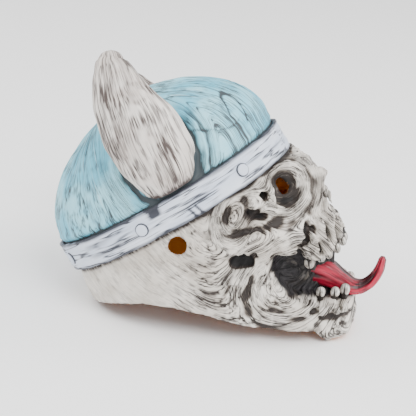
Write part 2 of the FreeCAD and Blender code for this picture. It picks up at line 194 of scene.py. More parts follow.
# Centres that the wrinkles run round: place, reach, stretch of (forward, height)
WHORLS = [((36, 80, 147), 22.0, (1.0, 1.0)), ((80, 45, 133), 15.0, (1.5, 1.0)),
          ((58, 92, 68), 34.0, (1.0, 1.0)), ((67, 59, 141), 8.0, (1.0, 1.0))]
# Spots darkened, the one behind the ramus with painted shade: place, stretch of (forward, height), where full
# and where gone, strength
DARK_SPOTS = [((35, 81, 147), (1.0, 0.85), (9, 19), 0.8),          # socket
              ((0, 109, 121), (1.0, 0.7), (7, 13), 1.1),           # nose opening
              ((78, 54, 90), (0.7, 1.2), (5, 13), 0.9),            # painted shade in the recess behind the ramus, where the hole goes dark
              ((38, 98, 103), (1.0, 0.6), (4, 11), 0.9)]           # hollow beside the upper jaw
# Studio camera: turn and rise in degrees, distance and target height in millimetres, lens
CAMERA_TURN, CAMERA_RISE = -75.0, 20.0
CAMERA_DISTANCE, CAMERA_TARGET = 1100.0, 107.0
CAMERA_LENS = 101.2


# ---- helpers: places and noise ---------------------------------------------------------------------
def to_world(points):
    """Level head, millimetres, to the row frame, metres."""
    p = np.asarray(points, float)
    reach = p[..., 1] - CHIN_FOOT
    leaned = CHIN_FOOT + reach * math.cos(STANCE) - p[..., 2] * math.sin(STANCE)
    height = p[..., 2] * math.cos(STANCE) + reach * math.sin(STANCE)
    return np.stack([p[..., 0] + LAYOUT[0], LAYOUT[1] - leaned, height], -1) / 1000


def helmet_to_level(x, along, up):
    """Helmet frame (across, towards the brow, square to the band) to the level head."""
    c, s = math.cos(HELMET[2]), math.sin(HELMET[2])
    return np.stack([x, HELMET[0] + along * c - up * s, HELMET[1] + along * s + up * c], -1)


def level_to_helmet(forward, height):
    """Distance towards the brow and square to the band, from a place of the level head."""
    c, s = math.cos(HELMET[2]), math.sin(HELMET[2])
    f, h = forward - HELMET[0], height - HELMET[1]
    return f * c + h * s, h * c - f * s


def lattice(points, seed):
    """Smooth value noise from 0 to 1 at points in lattice units."""
    table = np.random.default_rng(seed).random((32, 32, 32)).astype(np.float32)
    p = np.asarray(points, np.float32)
    base = np.floor(p).astype(np.int32)
    f = p - base
    f = f * f * (3 - 2 * f)
    total = np.zeros(p.shape[:-1], np.float32)
    for i in (0, 1):
        wx = f[..., 0] if i else 1 - f[..., 0]
        for j in (0, 1):
            wy = f[..., 1] if j else 1 - f[..., 1]
            for k in (0, 1):
                wz = f[..., 2] if k else 1 - f[..., 2]
                corner = table[(base[..., 0] + i) & 31, (base[..., 1] + j) & 31, (base[..., 2] + k) & 31]
                total += wx * wy * wz * corner
    return total


def layered(points, seed, octaves=3):
    """Several octaves of value noise, about 0 to 1."""
    total, weight, size = 0.0, 0.0, 1.0
    for octave in range(octaves):
        total = total + lattice(points * size, seed + octave) / size
        weight += 1 / size
        size *= 2.03
    return total / weight


def hermite(x, xs, ys):
    """A smooth curve through the knots."""
    xs, ys = np.asarray(xs, float), np.asarray(ys, float)
    slope = np.gradient(ys, xs, axis=0)
    i = np.clip(np.searchsorted(xs, x) - 1, 0, len(xs) - 2)
    h = xs[i + 1] - xs[i]
    t = np.clip((x - xs[i]) / h, 0, 1)
    if ys.ndim > 1:
        t, h = t[:, None], h[:, None]
    t2, t3 = t * t, t * t * t
    return ((2 * t3 - 3 * t2 + 1) * ys[i] + (t3 - 2 * t2 + t) * h * slope[i]
            + (3 * t2 - 2 * t3) * ys[i + 1] + (t3 - t2) * h * slope[i + 1])


def smooth_min(a, b, k):
    """The smaller of two distances, rounded over a width of k."""
    h = np.clip(0.5 + 0.5 * (b - a) / k, 0, 1)
    return b * (1 - h) + a * h - k * h * (1 - h)


def smooth_max(a, b, k):
    return -smooth_min(-a, -b, k)


def step(x, low, high):
    """Rises smoothly from 0 at low to 1 at high."""
    t = np.clip((x - low) / (high - low), 0, 1)
    return t * t * (3 - 2 * t)


def hill(x, middle, width):
    """A soft hill of height 1."""
    return np.exp(-((x - middle) / width) ** 2)


# ---- helpers: meshes ---------------------------------------------------------------------------------
def new_mesh(name, points, faces, attributes, material, smooth=True):
    """A mesh object from points in metres, with float attributes on its points."""
    mesh = bpy.data.meshes.new(name)
    faces = np.asarray(faces)
    mesh.vertices.add(len(points))
    mesh.vertices.foreach_set("co", np.asarray(points, np.float32).ravel())
    mesh.loops.add(faces.size)
    mesh.loops.foreach_set("vertex_index", faces.astype(np.int32).ravel())
    mesh.polygons.add(len(faces))
    mesh.polygons.foreach_set("loop_start", np.arange(0, faces.size, faces.shape[1], dtype=np.int32))
    mesh.polygons.foreach_set("use_smooth", np.full(len(faces), smooth))
    mesh.update(calc_edges=True)
    mesh.validate()
    for key, values in attributes.items():
        layer = mesh.attributes.new(key, "FLOAT", "POINT")
        layer.data.foreach_set("value", np.asarray(values, np.float32).ravel())
    mesh.materials.append(material)
    ob = bpy.data.objects.new(name, mesh)
    bpy.context.scene.collection.objects.link(ob)
    return ob


def grid_faces(rows, columns, closed_rows=False):
    """Quads of a grid whose columns close on themselves."""
    last = rows if closed_rows else rows - 1
    i, j = np.meshgrid(np.arange(last), np.arange(columns), indexing="ij")
    k, l = (i + 1) % rows, (j + 1) % columns
    return np.stack([i * columns + j, i * columns + l, k * columns + l, k * columns + j], -1).reshape(-1, 4)


def grid_normals(p, closed_rows=False):
    """Unit normals of a grid of points, its columns closed."""
    across = np.roll(p, -1, 1) - np.roll(p, 1, 1)
    if closed_rows:
        along = np.roll(p, -1, 0) - np.roll(p, 1, 0)
    else:
        along = np.gradient(p, axis=0)
    n = np.cross(across, along)
    return n / np.maximum(np.linalg.norm(n, axis=-1, keepdims=True), 1e-9)


def outward(points, faces):
    """The faces, turned over where the closed surface would be inside out."""
    a, b, c = (points[faces[:, k]] for k in (0, 1, 2))
    volume = np.einsum("ij,ij->i", a - points.mean(0), np.cross(b - a, c - a)).sum()
    return faces[:, ::-1] if volume < 0 else faces


# ---- helpers: shaders --------------------------------------------------------------------------------
class Value:
    """A socket of a material's node tree that can be used in sums."""

    def __init__(self, tree, socket):
        self.tree = tree
        self.socket = socket

    def math(self, operation, *others, clamp=False):
        node = self.tree.nodes.new("ShaderNodeMath")
        node.operation = operation
        node.use_clamp = clamp
        for entry, value in zip(node.inputs, (self, *others)):
            feed(self.tree, value, entry)
        return Value(self.tree, node.outputs[0])

    def __add__(self, other):
        return self.math("ADD", other)

    __radd__ = __add__

    def __mul__(self, other):
        return self.math("MULTIPLY", other)

    __rmul__ = __mul__

    def __sub__(self, other):
        return self.math("SUBTRACT", other)

    def __rsub__(self, other):
        return self.math("MULTIPLY", -1.0).math("ADD", other)

    def clamped(self):
        return self.math("ADD", 0.0, clamp=True)

    def step(self, low, high):
        """Rises smoothly from 0 at low to 1 at high."""
        node = self.tree.nodes.new("ShaderNodeMapRange")
        node.interpolation_type = "SMOOTHSTEP"
        for entry, value in zip(node.inputs, (self, low, high, 0.0, 1.0)):
            feed(self.tree, value, entry)
        return Value(self.tree, node.outputs[0])


def feed(tree, value, entry):
    """Links a value to a node's input, or sets the input to a number or colour."""
    if isinstance(value, Value):
        tree.links.new(value.socket, entry)
    else:
        entry.default_value = value


class Paint:
    """One material and the nodes that colour it."""

    def __init__(self, name, roughness=0.6, coat=0.0):
        self.material = bpy.data.materials.new(name)
        self.material.use_nodes = True
        self.tree = self.material.node_tree
        self.shader = self.tree.nodes["Principled BSDF"]
        self.shader.inputs["Roughness"].default_value = roughness
        self.shader.inputs["Coat Weight"].default_value = coat
        self.shader.inputs["Specular IOR Level"].default_value = 0.35

    def node(self, kind, *values, out=0, **settings):
        """Any node: settings are its properties, values its inputs in order."""
        node = self.tree.nodes.new(kind)
        for key, value in settings.items():
            setattr(node, key, value)
        for entry, value in zip(node.inputs, values):
            if value is not None:
                feed(self.tree, value, entry)
        return Value(self.tree, node.outputs[out])

    def attribute(self, name):
        return self.node("ShaderNodeAttribute", out=2, attribute_name=name)

    def place(self, scale=1.0):
        """Object coordinates in millimetres, scaled."""
        here = self.node("ShaderNodeTexCoord", out=3)
        return self.node("ShaderNodeVectorMath", here, None, None, 1000.0 * scale, operation="SCALE")

    def flow(self, across, along):
        """Coordinates that run with the wrinkles: millimetres across and along, scaled."""
        over, down = self.attribute("across") * across, self.attribute("along") * along
        return self.node("ShaderNodeCombineXYZ", over, down)

    def noise(self, vector, detail=2.0, rough=0.55, distortion=0.0):
        return self.node("ShaderNodeTexNoise", vector, None, 1.0, detail, rough, None, None, None, distortion)

    def mix(self, factor, low, high):
        """A colour between two colours."""
        node = self.tree.nodes.new("ShaderNodeMix")
        node.data_type = "RGBA"
        for index, value in ((0, factor), (6, low), (7, high)):
            feed(self.tree, value, node.inputs[index])
        return Value(self.tree, node.outputs[2])

    def finish(self, colour, height=None, strength=0.3, distance=0.0006):
        self.tree.links.new(colour.socket, self.shader.inputs["Base Color"])
        if height is not None:
            node = self.tree.nodes.new("ShaderNodeBump")
            node.inputs["Strength"].default_value = strength
            node.inputs["Distance"].default_value = distance
            self.tree.links.new(height.socket, node.inputs["Height"])
            self.tree.links.new(node.outputs[0], self.shader.inputs["Normal"])
        return self.material


def lines(paint, across, along, sharp=0.06, seed=0.0):
    """Thin dark strokes that run along the flow: 1 on a stroke, 0 beside it."""
    shifted = paint.node("ShaderNodeVectorMath", paint.flow(across, along), (seed, seed, seed))
    return 1.0 - (paint.noise(shifted, 3.0) - 0.5).math("ABSOLUTE").step(0.0, sharp)


def patchy_lines(paint, across, along, sharp, seed, scale, low, high):
    """Strokes that come and go in patches."""
    return lines(paint, across, along, sharp, seed) * paint.noise(paint.place(scale), 2.0).step(low, high)


def rgb(red, green, blue):
    """A linear colour from display values out of 255."""
    return tuple((v / 255) ** 2.2 for v in (red, green, blue)) + (1.0,)


def chosen(name):
    """A colour set in the panel."""
    return tuple(getattr(bpy.context.scene.mask, name))


def skin_material():
    """Bone paint, washed dark in the hollows; black in the mouth, streaked with painted highlights; bare amber
    latex inside.
    """
    paint = Paint("bone_paint", 0.62)
    hollow = paint.attribute("hollow")
    busy = paint.attribute("busy")
    patches = paint.noise(paint.place(0.035), 3.0)
    brush = paint.noise(paint.flow(0.2, 0.03), 4.0)
    base = paint.mix(patches.step(0.35, 0.7), chosen("bone"), rgb(188, 180, 169))
    shade = (hollow.step(-0.1, 0.6) * busy + brush.step(0.52, 0.8) * busy * 0.8).clamped()
    base = paint.mix(shade, base, rgb(128, 119, 110))
    strokes = patchy_lines(paint, 0.17, 0.024, 0.06, 0.0, 0.05, 0.38, 0.52)
    fine = patchy_lines(paint, 0.33, 0.05, 0.06, 7.0, 0.08, 0.42, 0.56)
    thin = patchy_lines(paint, 0.24, 0.03, 0.05, 13.0, 0.06, 0.45, 0.6)
    worn = paint.noise(paint.flow(0.5, 0.06), 2.0).step(0.3, 0.6) * 0.7 + 0.5
    wash = (hollow.step(0.1, 1.0) * worn + (strokes + fine * 0.7 + thin) * (busy * 0.95)).clamped()
    colour = paint.mix(wash, base, rgb(46, 40, 37))
    # Near black in the deepest hollows, which take in the darkened spots and the painted shade behind the
    # ramus.
    colour = paint.mix(hollow.step(1.0, 1.9), colour, rgb(20, 18, 18))
    # Painted highlights: grey streaks on the black mouth stand in for its shine; the same streaks raise its
    # ridges in the bump.
    gleam = lines(paint, 0.22, 0.02, 0.12, 17.0)
    colour = paint.mix(paint.attribute("mouth"), colour, paint.mix(gleam, rgb(13, 12, 13), rgb(48, 46, 48)))
    colour = paint.mix(paint.attribute("inside"), colour, chosen("latex"))
    height = wash * -1.0 + patches * 0.3 + paint.attribute("mouth") * gleam * 2.0
    return paint.finish(colour, height, 0.6, 0.0009)


def helmet_material():
    """Pale blue with dry brushing, dark strokes along the folds, and painted shade round the horns' roots."""
    paint = Paint("helmet_paint", 0.55)
    hollow = paint.attribute("hollow")
    patches = paint.noise(paint.place(0.022), 4.0)
    brush = paint.noise(paint.flow(0.22, 0.02), 4.0)
    base = paint.mix(patches.step(0.38, 0.66), rgb(96, 176, 200), chosen("helmet"))
    base = paint.mix(brush.step(0.55, 0.9), base, rgb(196, 220, 226))
    base = paint.mix(paint.noise(paint.place(0.03), 5.0).step(0.62, 0.8) * 0.6, base, rgb(120, 140, 146))
    strokes = patchy_lines(paint, 0.085, 0.014, 0.035, 3.0, 0.03, 0.36, 0.52)
    more = patchy_lines(paint, 0.12, 0.02, 0.035, 23.0, 0.035, 0.42, 0.56)
    fine = patchy_lines(paint, 0.26, 0.035, 0.05, 11.0, 0.05, 0.46, 0.6)
    # The hollow attribute brings the dark folds and the painted shade round the horns' roots.
    wash = (hollow.step(0.1, 0.9) + strokes * 0.8 + more * 0.7 + fine * 0.6).clamped()
    colour = paint.mix(wash, base, rgb(58, 66, 70))
    colour = paint.mix(paint.attribute("inside"), colour, chosen("latex"))
    return paint.finish(colour, wash * -1.0, 0.4, 0.0008)


def band_material():
    """Pale lavender grey with long dark grain and inked edges."""
    paint = Paint("band_paint", 0.55)
    patches = paint.noise(paint.flow(0.05, 0.015), 3.0)
    base = paint.mix(patches.step(0.35, 0.7), rgb(186, 196, 214), chosen("band"))
    grain = lines(paint, 0.19, 0.012, 0.055, 5.0) * paint.noise(paint.flow(0.1, 0.02), 2.0).step(0.42, 0.56)
    wash = (grain + paint.attribute("hollow")).clamped()
    colour = paint.mix(wash, base, rgb(56, 58, 66))
    colour = paint.mix(paint.attribute("inside"), colour, chosen("latex"))
    return paint.finish(colour, wash * -1.0, 0.4, 0.0007)


def horn_material():
    """Bone grey, streaked from root to tip."""
    paint = Paint("horn_paint", 0.6)
    patches = paint.noise(paint.place(0.03), 3.0)
    brush = paint.noise(paint.flow(0.13, 0.012), 3.0)
    base = paint.mix(patches.step(0.3, 0.7), chosen("horn"), rgb(198, 188, 180))
    base = paint.mix(brush.step(0.48, 0.8) * 0.8, base, rgb(148, 136, 130))
    strokes = patchy_lines(paint, 0.1, 0.012, 0.05, 2.0, 0.028, 0.38, 0.54)
    more = patchy_lines(paint, 0.15, 0.011, 0.05, 29.0, 0.04, 0.42, 0.56)
    fine = patchy_lines(paint, 0.25, 0.02, 0.06, 9.0, 0.05, 0.44, 0.6)
    wash = (paint.attribute("hollow").step(0.15, 0.95) + strokes * 0.8 + more * 0.7 + fine * 0.6).clamped()
    colour = paint.mix(wash, base, rgb(72, 63, 60))
    return paint.finish(colour, wash * -1.0, 0.4, 0.0008)


def tongue_material():
    """Dark pink red with black creases, black towards the throat."""
    paint = Paint("tongue_paint", 0.42, 0.15)
    brush = paint.noise(paint.flow(0.3, 0.03), 3.0)
    base = paint.mix(brush.step(0.3, 0.75), chosen("tongue"), rgb(116, 16, 36))
    strokes = lines(paint, 0.2, 0.02, 0.08, 4.0)
    wash = (paint.attribute("hollow").step(0.1, 0.9) + strokes * 0.7).clamped()
    colour = paint.mix(wash, base, rgb(48, 12, 20))
    colour = paint.mix(paint.attribute("mouth"), colour, rgb(20, 18, 20))
    return paint.finish(colour, wash * -1.0, 0.5, 0.0008)


def tooth_material():
    """Ivory, dark in the flutes and at the gum."""
    paint = Paint("tooth_paint", 0.45)
    patches = paint.noise(paint.place(0.25), 3.0)
    base = paint.mix(patches.step(0.35, 0.65), chosen("tooth"), rgb(176, 168, 158))
    strokes = lines(paint, 0.3, 0.06, 0.09, 6.0)
    wash = (paint.attribute("hollow").step(0.2, 0.9) + strokes * 0.6).clamped()
    return paint.finish(paint.mix(wash, base, rgb(44, 40, 38)), wash * -1.0, 0.4, 0.0006)


def plain_material(name, colour, roughness=0.6):
    """One even colour."""
    paint = Paint(name, roughness)
    paint.shader.inputs["Base Color"].default_value = colour
    return paint.material


# ---- the skull and jaw skins, as one field -------------------------------------------------------
def radius_table():
    """Polar radius of the head's slices: heights, then 0 to 180 degrees from the brow to the nape."""
    heights, rows = [], []
    for height, half in reversed(SLICES):
        poles = np.array(half + [(-x, a) for x, a in reversed(half[1:-1])], float)
        t = np.linspace(0, 1, 24, endpoint=False)[:, None]
        weights = [(1 - t) ** 3, 3 * t ** 3 - 6 * t ** 2 + 4, -3 * t ** 3 + 3 * t ** 2 + 3 * t + 1, t ** 3]
        curve = np.concatenate([sum(w * poles[(i + k - 1) % len(poles)] for k, w in enumerate(weights)) / 6
                                for i in range(len(poles))])
        angle = np.degrees(np.arctan2(curve[:, 0], curve[:, 1]))
        keep = angle > -4
        order = np.argsort(angle[keep])
        rows.append(np.interp(np.arange(0, 181), angle[keep][order], np.hypot(*curve[keep][order].T)))
        heights.append(height)
    fine = np.arange(heights[0], heights[-1] + 1.0)
    table = np.stack([np.interp(fine, heights, column) for column in np.array(rows).T], 1)
    kernel = np.hanning(13)
    padded = np.pad(table, ((6, 6), (0, 0)), "edge")
    table = np.stack([np.convolve(column, kernel / kernel.sum(), "valid") for column in padded.T], 1)
    return heights[0], table


def polygon_distance(outline, forward, height):
    """Signed distance to a side outline, negative inside."""
    best = np.full(np.broadcast(forward, height).shape, 1e9)
    inside = np.zeros(best.shape, bool)
    for (af, az), (bf, bz) in zip(outline, outline[1:] + outline[:1]):
        ef, ez = bf - af, bz - az
        t = np.clip(((forward - af) * ef + (height - az) * ez) / (ef * ef + ez * ez), 0, 1)
        best = np.minimum(best, np.hypot(forward - af - t * ef, height - az - t * ez))
        crosses = ((az > height) != (bz > height))
        edge = af + (height - az) * ef / (ez if ez else 1e-9)
        inside ^= crosses & (forward < edge)
    return np.where(inside, -best, best)


def plain_head(x, f, z, low, table):
    """Distance to the plain head, and the height over the band's foot."""
    a, n = level_to_helmet(f, z)
    i = np.clip(n - low, 0, len(table) - 1.001)
    j = np.clip(np.degrees(np.arctan2(np.abs(x), a)), 0, 179.999)
    i0, j0 = i.astype(int), j.astype(int)
    fi, fj = i - i0, j - j0
    radius = ((table[i0, j0] * (1 - fj) + table[i0, j0 + 1] * fj) * (1 - fi)
              + (table[i0 + 1, j0] * (1 - fj) + table[i0 + 1, j0 + 1] * fj) * fi)
    return (np.hypot(x, a) - radius) * 0.92, n


def settle(place, depth, low, table):
    """Moves a place straight onto the plain head and then in by depth."""
    p = np.array(place, float)
    for target in (0.0, 0.0, 0.0, -depth):
        around = p + np.concatenate([np.zeros((1, 3)), np.eye(3), -np.eye(3)])
        d = plain_head(*around.T, low, table)[0]
        slope = (d[1:4] - d[4:7]) / 2
        if abs(place[0]) < 0.5:
            slope[0] = 0.0
        p = p + (target - d[0]) * slope / (slope @ slope)
    return p


def capsule(x, f, z, form):
    """Distance to a tapered capsule."""
    a, b, ra, rb = form
    a, b = np.array(a, float), np.array(b, float)
    axis = b - a
    t = np.clip(((x - a[0]) * axis[0] + (f - a[1]) * axis[1] + (z - a[2]) * axis[2]) / (axis @ axis), 0, 1)
    gap = np.sqrt(sum((grid - a[k] - t * axis[k]) ** 2 for k, grid in enumerate((x, f, z))))
    return gap - (ra + (rb - ra) * t)


def whorls(x, f, z):
    """Millimetres across and along the wrinkles, which run round the whorls and slant down elsewhere."""
    side = np.abs(x)
    across = 0.62 * f + 0.72 * z + 0.45 * side
    along = 0.72 * f - 0.62 * z + 0.3 * side
    weight = np.full(np.shape(across), 0.16)
    across, along = across * weight, along * weight
    for (cx, cf, cz), reach, (sf, sz) in WHORLS:
        df, dz, dx = (f - cf) * sf, (z - cz) * sz, (side - cx) * 0.55
        ring = np.sqrt(df * df + dz * dz + dx * dx)
        w = np.exp(-(ring / reach) ** 2)
        across += w * ring * 1.1
        along += w * np.arctan2(dz, df) * reach
        weight += w
    return across / weight, along / weight


def soften(field, rounds=2):
    """Blurs a grid, along each axis in turn."""
    for _ in range(rounds):
        for axis in range(3):
            a, b = np.roll(field, 1, axis), np.roll(field, -1, axis)
            field = 0.25 * a + 0.5 * field + 0.25 * b
    return field


def work_form(solid, grids, axes, form, carve, head):
    """Adds or cuts one form, on the part of the grid near it."""
    start, end, ra, rb, soft, relief = form
    sink = -1.0 if carve else 1.0
    if relief is not None:
        if carve and relief > ra + 2:
            work_form(solid, grids, axes, (start, end, ra, rb, soft, relief - ra), True, head)
        start = settle(start, sink * (ra - relief), *head)
        end = settle(end, sink * (rb - relief), *head)
    reach = max(ra, rb) + soft + 6
    cut = []
    for axis, line in enumerate(axes):
        lo, hi = min(start[axis], end[axis]) - reach, max(start[axis], end[axis]) + reach
        cut.append(slice(int(np.searchsorted(line, lo)), int(np.searchsorted(line, hi))))
    cut = tuple(cut)
    shape = capsule(*(grid[cut] for grid in grids), (start, end, ra, rb))
    solid[cut] = smooth_max(solid[cut], -shape, soft) if carve else smooth_min(solid[cut], shape, soft)


def wrinkle_relief(x, f, z, n):
    """How far the wrinkles and lumps lift the skin, calmer on the chin, the nose and in the sockets."""
    across, along = whorls(x, f, z)
    warp = layered(np.stack([x, f, z], -1) / 24, 5, 2) - 0.5
    folds = lattice(np.stack([across / 4.2 + warp * 2, along / 34, np.sign(x) * 3], -1), 21)
    cracks = lattice(np.stack([across / 2.6, along / 22 + warp, np.sign(x) * 5], -1), 33)
    lumps = layered(np.stack([x, f, z], -1) / 15, 44, 3)
    front = step(f, 8, 44) * 0.85 + 0.15
    chin = 0.6 * step(f, 100, 112) * (1 - step(z, 26, 34))
    nose = 0.5 * step(f, 96, 102) * step(z, 124, 132)
    calm = 1 - chin - nose
    relief = ((folds - 0.5) * 3.8 + (cracks - 0.5) * 1.7) * front * calm + (lumps - 0.5) * 2.2 * calm
    relief *= 0.35 + 0.65 * step(-n, -2, 8)
    from_socket = (np.abs(x) - 32) ** 2 + (f - 79) ** 2 + (z - 146) ** 2
    return relief * (1 - 0.6 * np.exp(-from_socket / 190))


def eye_and_ear_holes(x, f, z):
    """Distance to the eye holes, which look forward and out, and to the ear holes."""
    side = np.abs(x)
    axis = np.array(EYE_AXIS)
    gaps = [grid - place for grid, place in zip((side, f, z), EYE_HOLE)]
    reach = sum(gap * share for gap, share in zip(gaps, axis))
    ex, ef, ez = (gap - reach * share for gap, share in zip(gaps, axis))
    eye = np.sqrt(ex ** 2 * 1.8 + ef ** 2 + ez ** 2) - EYE_HOLE_R
    eye = np.where(f > 50, eye, 20.0)
    ear = np.where(side > 60, np.hypot(f - EAR_HOLE[0], z - EAR_HOLE[1]) - EAR_HOLE_R, 20.0)
    return np.minimum(eye, ear)


def cut_skin(x, f, z, n, solid):
    """Hollows the head to a skin and cuts its rim, crown, eye holes and ear holes."""
    ground = z * math.cos(STANCE) + (f - CHIN_FOOT) * math.sin(STANCE)
    ground = np.minimum(ground, z - (f - 116.0) * 0.24)
    hollow_form = np.maximum(soften(solid, 2) + SKIN_WALL, np.minimum(SKIN_WALL - ground, f - 108.0))
    skin = np.maximum(solid, -hollow_form)
    wave = 1.6 * (layered(np.stack([x, f, z * 0], -1) / 18, 71, 2) - 0.5)
    rim = np.interp(f, *zip(*RIM)) + wave
    rim = np.where(f > 121, -20.0, rim) - 16 * step(x, 20, 60) * hill(f, -52, 30)
    for cut in (rim - z, 0.15 - ground, n - 20.0):
        skin = np.maximum(skin, cut)
    return smooth_max(skin, -eye_and_ear_holes(x, f, z), 0.8).astype(np.float32)


def head_field(voxel):
    """The grid of the head: axes, the closed outer form, the mouth's form, and the skin."""
    xs = np.arange(0, 112, voxel)
    fs = np.arange(-128, 152, voxel)
    zs = np.arange(-10, 190, voxel)
    x, f, z = (a.astype(np.float32) for a in np.meshgrid(xs, fs, zs, indexing="ij"))
    head = radius_table()
    solid, n = (grid.astype(np.float32) for grid in plain_head(x, f, z, *head))
    for forms, carve in ((RAISED, False), (CARVED, True)):
        for form in forms:
            work_form(solid, (x, f, z), (xs, fs, zs), form, carve, head)
    solid = smooth_max(solid, np.where(z < 70, f - CHIN_FRONT, -40.0), 5.0)
    side = polygon_distance(MOUTH, fs[:, None], zs[None, :])[None]
    mouth = smooth_max(np.broadcast_to(side, x.shape), np.interp(f, *CORE) - x, 3.0)
    solid = smooth_max(solid, -mouth, 2.0)

    solid, mouth, f, z, n = (np.concatenate([grid[:0:-1], grid], 0) for grid in (solid, mouth, f, z, n))
    xs = np.concatenate([-xs[:0:-1], xs])
    x = np.broadcast_to(xs[:, None, None], solid.shape).astype(np.float32)
    near = np.abs(solid) < 9
    solid[near] -= wrinkle_relief(x[near], f[near], z[near], n[near]).astype(np.float32)
    return xs, fs, zs, solid, mouth, cut_skin(x, f, z, n, solid)


def sample(grid, origin, voxel, p):
    """Trilinear reading of a grid at points."""
    q = np.clip((p - origin) / voxel, 0, np.array(grid.shape) - 1.001)
    i = q.astype(int)
    t = q - i
    total = 0.0
    for corner in np.ndindex(2, 2, 2):
        weight = np.prod(np.where(corner, t, 1 - t), axis=1)
        total = total + weight * grid[tuple((i + corner).T)]
    return total


def take_faces(points, faces, keep):
    """The kept faces with only the points they use, and those points' old numbers."""
    faces = faces[keep]
    used = np.unique(faces)
    fresh = np.full(len(points), -1)
    fresh[used] = np.arange(len(used))
    return points[used], fresh[faces], used


def skin_paint(points, read, solid, mouth):
    """Paint attributes of the head's points. read gives a grid's values there."""
    side, forward, height = np.abs(points[:, 0]), points[:, 1], points[:, 2]
    narrow = soften(np.clip(solid, -8, 8), 1)
    wide = soften(narrow, 6)
    broad = soften(wide, 16)
    inside = step(-read(solid), 1.9, 2.6)
    hollow = np.clip(read((narrow - wide) * 0.95 + (wide - broad) * 0.35), -1.0, 2.0)
    # Darkens the listed spots; the one behind the ramus is painted shade.
    for (cx, cf, cz), (sf, sz), (full, gone), strength in DARK_SPOTS:
        away = np.sqrt((side - cx) ** 2 + ((forward - cf) * sf) ** 2 + ((height - cz) * sz) ** 2)
        hollow += (1 - step(away, full, gone)) * strength * (1 - inside)
    hollow += 0.8 * step(level_to_helmet(forward, height)[1], -6, -1)
    wall = (1 - step(read(mouth), 0.3, 3.0)) * (1 - inside) * step(-read(soften(solid, 1)), -9, 9)
    depth = step(np.interp(forward, *CORE) + 22 - side, 0, 12)
    behind = inside * step(forward, 58, 66) * (1 - step(height, 100, 112)) * (1 - step(side, 46, 54))
    across, along = whorls(points[:, 0], forward, height)
    return {"hollow": hollow, "inside": inside, "mouth": np.maximum(np.clip(wall * 2, 0, 1) * depth, behind),
            "across": across, "along": along, "busy": 0.25 + 0.75 * step(forward, -30, 40)}


def skin_parts(middle, mouth, solid):
    """Which faces each piece takes, from their middles and the distances to the two forms there."""
    side, forward, height = np.abs(middle[:, 0]), middle[:, 1], middle[:, 2]
    lining = (mouth < 4.2) & (side < np.interp(forward, *CORE) + 9) & (forward > 64)
    lining |= (mouth < 4.2) & (solid < -5)
    ahead = (forward - JAW_BEND[0][1]) * 0.74 - (height - JAW_BEND[0][2]) * 0.675
    jaw = (ahead > 0) & ((forward < 76) | (height < 66)) & (height < 90) & ~lining
    return {"skull_skin_cast": ~jaw & ~lining, "jaw_skin_cast": jaw, "mouth_lining_cast": lining}


def build_skins(voxel):
    """Skull skin, jaw skin and mouth lining, cut from one meshed field."""
    xs, fs, zs, solid, mouth, skin = head_field(voxel)
    origin = np.array([xs[0], fs[0], zs[0]])
    grid = openvdb.FloatGrid(10.0)
    grid.copyFromArray(np.ascontiguousarray(np.clip(skin, -10, 10)))
    points, quads = grid.convertToQuads(0.0)
    points = np.asarray(points, float) * voxel + origin
    world = to_world(points)
    faces = outward(world, np.asarray(quads).astype(np.int64))
    middle = points[faces].mean(1)

    def read(values):
        return sample(values, origin, voxel, points)

    attributes = skin_paint(points, read, solid, mouth)
    pieces = skin_parts(middle, sample(mouth, origin, voxel, middle), sample(solid, origin, voxel, middle))

    whole = bpy.data.meshes.new("whole")
    whole.from_pydata(world.tolist(), [], faces.tolist())
    normals = np.empty(len(world) * 3, np.float32)
    whole.vertices.foreach_get("normal", normals)
    normals = normals.reshape(-1, 3)
    bpy.data.meshes.remove(whole)

    material = skin_material()
    made = {}
    for name, keep in pieces.items():
        own, own_faces, used = take_faces(world, faces, keep)
        ob = new_mesh(name, own, own_faces, {k: v[used] for k, v in attributes.items()}, material)
        ob.data.normals_split_custom_set_from_vertices(normals[used].tolist())
        made[name] = ob
    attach(made["skull_skin_cast"], "skull")
    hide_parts("skull_skin")
    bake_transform(made["jaw_skin_cast"])
    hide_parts("jaw_skin")
    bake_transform(made["mouth_lining_cast"])
    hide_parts("mouth_lining")


# ---- helmet --------------------------------------------------------------------------------------
def dome_point(turn, rise, inset):
    """Places on the dome, in the helmet frame. turn runs round from the brow; rise is 0 to 1."""
    keys = np.array(DOME_RINGS)
    rows = hermite(np.clip(rise, keys[0, 0], 1), keys[:, 0], keys[:, 1:])
    fade = np.clip(1 - inset / np.maximum(rows[:, 2], inset + 0.01), 0, 1)
    half_x = rows[:, 2] * fade
    half_a = (rows[:, 1] - rows[:, 0]) / 2 * fade
    centre = (rows[:, 1] + rows[:, 0]) / 2
    up = BAND[2] + (DOME_RISE - inset) * np.sin(np.clip(rise, 0, 1) * math.pi / 2)
    up = up + np.where(rise < 0, rise * 60, 0)
    x = half_x[:, None] * np.sin(turn)[None]
    a = centre[:, None] + half_a[:, None] * np.cos(turn)[None]
    return x, a, np.broadcast_to(up[:, None], x.shape)


def horn_place(place, side):
    """A point of the horn on one side of the head, the left one flopped out and back."""
    p = np.asarray(place, float)
    if side < 0:
        return p * (-1, 1, 1)
    turn = Matrix.Identity(3)
    for axis, degrees in LEFT_TURNS:
        turn = turn @ Matrix.Rotation(math.radians(degrees), 3, axis)
    root = np.array(HORN_ROOT)
    return (p - root) @ np.array(turn).T + root + LEFT_SHIFT


def horn_gap(places, side):
    """Distance from places to the lower half of one horn."""
    keys = range(len(HORN))
    stations = np.array([horn_place(place, side) for place, _ in HORN])
    gap = np.full(places.shape[:-1], 1e9)
    for t in np.linspace(0, 3, 25):
        centre = hermite(np.array([t]), keys, stations)[0]
        size = np.interp(t, keys, [radius for _, radius in HORN]) * (LEFT_SLIM if side > 0 else 1)
        gap = np.minimum(gap, np.linalg.norm(places - centre, axis=-1) - size)
    return gap


